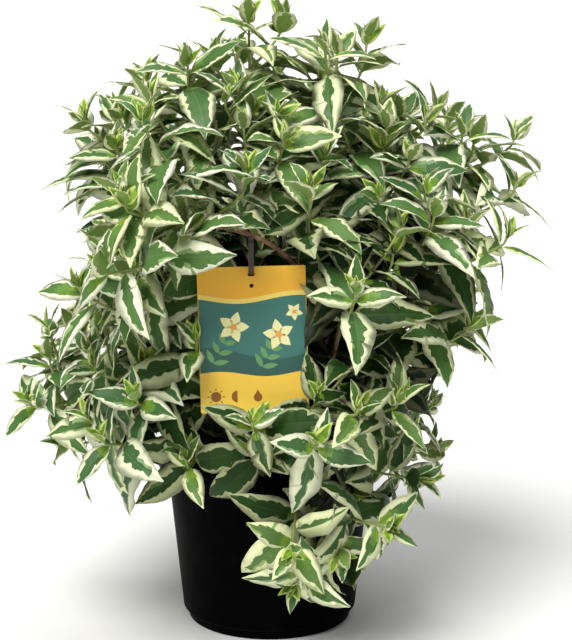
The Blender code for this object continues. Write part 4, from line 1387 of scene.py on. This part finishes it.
def build_twigs(spray, young, old):
    """The mass's shoots as one piece, swollen at the leaf joints and green towards the tips."""
    maker = TubeMaker(6)
    for shoot in spray.shoots:
        line = shoot["line"]
        steps = max(8, round(line.length / 0.004))
        points = []
        radii = []
        for index in range(steps + 1):
            behind = line.length * (1 - index / steps)
            points.append(line.behind_tip(behind)[0])
            share = index / steps
            width = shoot["widths"][0] + (shoot["widths"][1] - shoot["widths"][0]) * share
            swell = max([math.exp(-(((behind - node) / 0.0022) ** 2)) for node in shoot["nodes"]] or [0.0])
            radii.append(0.5 * width * (1.15 + 0.35 * swell))
        split = max(1, int(steps * 0.35)) if shoot["order"] == 0 else 0
        if split:
            maker.add(points[: split + 1], radii[: split + 1], 1)
        maker.add(points[split:], radii[split:], 0)
    make_object(f"{spray.name}_twigs", maker.build(f"{spray.name}_twigs"), [young, old])


def node_solid(name):
    """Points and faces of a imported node."""
    data = NODES[name].data
    return [vertex.co.copy() for vertex in data.vertices], [tuple(face.vertices) for face in data.polygons]


def card_frame():
    """Place and tilt of the card's slot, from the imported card's own box."""
    low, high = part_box("label_card")
    points = [vertex.co for vertex in NODES["label_card"].data.vertices]
    middle = sum(points, Vector()) / len(points)
    frame_turn = Matrix.Rotation(math.radians(90) + CARD_TILT, 4, "X") @ Matrix.Rotation(CARD_LEAN, 4, "Z")
    centre = 0.5 * (low + high)
    card_middle = Vector((CARD_OFF_CENTRE, SLOT_DROP - 0.5 * CARD_HEIGHT, 0.0))
    return Matrix.Translation(centre - frame_turn.to_3x3() @ card_middle) @ frame_turn


def card_blocks(card):
    """Blocks where no leaf grows: before the card's face and its tie, and close behind the card."""
    inset, foot_inset, depth = 0.003, 0.016, 0.150
    half_width = 0.5 * CARD_WIDTH
    low = SLOT_DROP - CARD_HEIGHT
    blocks = (
        (half_width - inset, low + foot_inset, SLOT_DROP - inset, inset, depth),
        (0.007, SLOT_DROP + inset, SLOT_DROP + 0.024, inset, depth),
        (half_width - 0.001, low + 0.001, SLOT_DROP - 0.001, -0.0065, -0.0015),
        (half_width - 0.001, low + 0.001, SLOT_DROP - 0.001, -0.0045, -0.0030),
    )
    points = []
    faces = []
    for reach, foot, top, back, front in blocks:
        start = len(points)
        for x in (-reach, reach):
            for y in (foot, top):
                for z in (back, front):
                    points.append(card @ Vector((CARD_OFF_CENTRE + x, y, z)))
        for face in ((0, 1, 3, 2), (4, 6, 7, 5), (0, 4, 5, 1), (2, 3, 7, 6), (0, 2, 6, 4), (1, 5, 7, 3)):
            faces.append(tuple(start + index for index in face))
    return points, faces


def print_patches(name, outlines, card, level, material):
    """Flat patches of print on the card's face, from outlines in the card's own plane."""
    bm = bmesh.new()
    for outline in outlines:
        bm.faces.new([bm.verts.new((x, y, 0.0)) for x, y in outline])
    bmesh.ops.recalc_face_normals(bm, faces=bm.faces)
    for face in bm.faces:
        if face.normal.z < 0:
            face.normal_flip()
    bmesh.ops.triangulate(bm, faces=bm.faces)
    mesh = bpy.data.meshes.new(name)
    bm.to_mesh(mesh)
    bm.free()
    mesh.transform(card @ Matrix.Translation((0.0, 0.0, 0.5 * CARD_THICKNESS + level)))
    return make_object(name, mesh, [material], smooth=False)


def card_material(name, colour, roughness=0.38):
    """Printed plastic."""
    material, tree, shader = new_material(name, colour, roughness)
    tree.links.new(add_range(tree, add_noise(tree, 90.0, 4.0), roughness - 0.08, roughness + 0.10),
                   shader.inputs["Roughness"])
    add_bump(tree, shader, add_noise(tree, 1100.0, 2.0), 0.0001, 0.15)
    return material


def disc(x, y, radius, sides=28):
    """Outline of a disc."""
    return [(x + radius * math.cos(2 * math.pi * i / sides), y + radius * math.sin(2 * math.pi * i / sides))
            for i in range(sides)]


def petal(x, y, length, width, angle, sides=9):
    """Outline of a petal that points away from a place."""
    points = []
    for index in range(sides + 1):
        share = index / sides
        points.append((length * share, width * math.sin(math.pi * share**0.8)))
    for index in range(sides - 1, 0, -1):
        share = index / sides
        points.append((length * share, -width * math.sin(math.pi * share**0.8)))
    c, s = math.cos(angle), math.sin(angle)
    return [(x + c * u - s * v, y + s * u + c * v) for u, v in points]


def drop_outline(x, y, radius, sides=20):
    """Outline of a drop: a disc's lower part, drawn up to a point."""
    open_half = math.radians(35)
    turn = 2 * math.pi - 2 * open_half
    start = 0.5 * math.pi + open_half
    points = [(x, y + radius / math.sin(math.radians(90) - open_half) * 1.55)]
    for index in range(sides + 1):
        angle = start + turn * index / sides
        points.append((x + radius * math.cos(angle), y + radius * math.sin(angle)))
    return points


def wave_line(left, right, height, swing, turns, start, steps=32):
    """Points along a gentle wave across the card."""
    made = []
    for index in range(steps + 1):
        share = index / steps
        made.append((left + (right - left) * share, height + swing * math.sin(2 * math.pi * turns * share + start)))
    return made


def card_ground():
    """The card's own colour: amber at its top to yellow at its foot."""
    low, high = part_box("label_card")
    material, tree, shader = new_material("card_ground", (0.90, 0.52, 0.05), 0.36)
    place = tree.nodes.new("ShaderNodeTexCoord")
    parts = tree.nodes.new("ShaderNodeSeparateXYZ")
    tree.links.new(place.outputs["Object"], parts.inputs["Vector"])
    level = tree.nodes.new("ShaderNodeMapRange")
    level.inputs["From Min"].default_value = low.z
    level.inputs["From Max"].default_value = high.z
    tree.links.new(parts.outputs["Z"], level.inputs["Value"])
    stops = ((0.0, (0.94, 0.66, 0.090)), (0.30, (0.93, 0.58, 0.060)), (0.78, (0.90, 0.44, 0.028)),
             (1.0, (0.92, 0.52, 0.045)))
    tree.links.new(add_ramp(tree, level.outputs["Result"], stops), shader.inputs["Base Color"])
    tree.links.new(add_range(tree, add_noise(tree, 90.0, 4.0), 0.28, 0.46), shader.inputs["Roughness"])
    add_bump(tree, shader, add_noise(tree, 1100.0, 2.0), 0.0001, 0.15)
    return material


def build_card(card):
    """Plain plant card: bands of colour and simple flowers, with no words."""
    ground = card_ground()
    node = NODES["label_card"]
    for index in range(len(node.material_slots)):
        node.material_slots[index].material = ground
    left = CARD_OFF_CENTRE - 0.5 * CARD_WIDTH + 0.0006
    right = CARD_OFF_CENTRE + 0.5 * CARD_WIDTH - 0.0006
    bottom = SLOT_DROP - CARD_HEIGHT
    panel_low = bottom + 0.036
    panel_high = SLOT_DROP - 0.031
    low_wave = wave_line(left, right, panel_low, 0.0026, 1.1, 0.4)
    high_wave = wave_line(left, right, panel_high, 0.0034, 0.9, 2.6)
    print_patches("card_panel", [low_wave + high_wave[::-1]], card, 0.00004,
                  card_material("card_teal", (0.045, 0.175, 0.150)))
    hill = wave_line(left, right, panel_low + 0.019, 0.0060, 0.8, 1.2)
    print_patches("card_hill", [low_wave + hill[::-1]], card, 0.00007,
                  card_material("card_hill", (0.028, 0.105, 0.085)))
    band = wave_line(left, right, panel_high + 0.0045, 0.0034, 0.9, 2.6)
    print_patches("card_stripe", [high_wave + band[::-1]], card, 0.00004,
                  card_material("card_stripe", (0.93, 0.70, 0.150)))
    # Two sprigs of leaves, each pair of them on the way to a flower
    sprigs = (((-0.040, panel_low + 0.006), (-0.018, panel_low + 0.044)),
              ((0.006, panel_low + 0.002), (0.024, panel_low + 0.036)))
    leaves = []
    for (x0, y0), (x1, y1) in sprigs:
        along = math.atan2(y1 - y0, x1 - x0)
        for step in range(4):
            share = 0.12 + 0.24 * step
            x, y = x0 + (x1 - x0) * share, y0 + (y1 - y0) * share
            for side in (-1, 1):
                leaves.append(petal(x, y, 0.0150 - 0.0020 * step, 0.0026, along + side * 0.95))
    leaves = [outline for outline in leaves
              if all(left < x < right and panel_low + 0.003 < y < panel_high - 0.004 for x, y in outline)]
    print_patches("card_leaves", leaves, card, 0.00010, card_material("card_leaf", (0.140, 0.330, 0.120)))
    flowers = [(x1, y1, 0.0150) for _, (x1, y1) in sprigs] + [(0.039, panel_high - 0.012, 0.0085)]
    petals = []
    for number, (x, y, size) in enumerate(flowers):
        for index in range(5):
            petals.append(petal(x, y, size, 0.30 * size, 2 * math.pi * index / 5 + 0.5 * number))
    print_patches("card_petals", petals, card, 0.00013, card_material("card_pale", (0.88, 0.84, 0.42)))
    print_patches("card_eyes", [disc(x, y, 0.20 * size, 16) for x, y, size in flowers], card, 0.00016,
                  card_material("card_heart", (0.82, 0.36, 0.06)))
    # Plain pictures of sun, half shade and water along the foot
    foot = bottom + 0.015
    signs = [disc(left + 0.014, foot, 0.0048, 24)]
    for index in range(8):
        signs.append(petal(left + 0.014 + 0.0058 * math.cos(index * math.pi / 4),
                           foot + 0.0058 * math.sin(index * math.pi / 4), 0.0028, 0.0006, index * math.pi / 4))
    half = disc(left + 0.034, foot, 0.0056, 24)
    signs.append([point for point in half if point[0] <= left + 0.0341])
    signs.append(drop_outline(left + 0.053, foot - 0.0012, 0.0040))
    print_patches("card_signs", signs, card, 0.00004, card_material("card_brown", (0.30, 0.11, 0.02)))


def main():
    """The whole scene."""
    build_camera()
    build_stage()
    build_pot()
    build_mix()
    bark = bark_material(
        "cane_bark", ((0.28, (0.075, 0.035, 0.020)), (0.50, (0.190, 0.095, 0.050)), (0.74, (0.360, 0.230, 0.140))),
        120.0, 0.0009,
    )
    crown_bark = bark_material(
        "crown_bark", ((0.28, (0.050, 0.030, 0.020)), (0.50, (0.130, 0.080, 0.050)), (0.74, (0.260, 0.180, 0.120))),
        90.0, 0.0014,
    )
    young = bark_material(
        "young_shoot", ((0.25, (0.210, 0.290, 0.075)), (0.52, (0.330, 0.400, 0.120)), (0.80, (0.440, 0.420, 0.170))),
        110.0, 0.0003,
    )
    old = bark_material(
        "old_shoot", ((0.25, (0.160, 0.090, 0.045)), (0.52, (0.270, 0.190, 0.085)), (0.80, (0.340, 0.330, 0.140))),
        110.0, 0.0005,
    )
    build_crown(crown_bark)
    card = card_frame()
    build_card(card)
    tie_material = card_material("tie_plastic", (0.040, 0.022, 0.015), 0.45)
    for index in range(len(NODES["label_tie"].material_slots)):
        NODES["label_tie"].material_slots[index].material = tie_material

    centres = hearts()
    routes = cane_routes()
    entries = {name: entry_place(route, name, centres) for name, route in routes.items()}
    build_canes(routes, entries, bark)

    room = Room(centres)
    solids = ["pot", "potting_mix", "crown_stem", "label_card", "label_tie"]
    solids += [f"{name}_bough" for name in routes]
    room.set_solids([node_solid(name) for name in solids] + [card_blocks(card)])
    sprays = [Spray(name, room) for name in LEADING_TIPS]
    for spray in sprays:
        grow_shoots(spray, routes[spray.name], entries[spray.name])
    guards = ((0.080, 0.25), (0.125, 0.40), (0.165, 0.60), (0.175, 0.90))
    grow_leaves(sprays, guards)
    for spray in sprays:
        grow_cane_leaves(spray, routes[spray.name], entries[spray.name], guards)
    forms = make_leaf_forms()
    leaf_materials = make_leaf_materials()
    total = [0, 0]
    for spray in sprays:
        count, faces = build_leaves(spray, forms, leaf_materials)
        total[0] += count
        total[1] += faces
        build_twigs(spray, young, old)
    print("leaves", total[0], "leaf faces", total[1])


main()
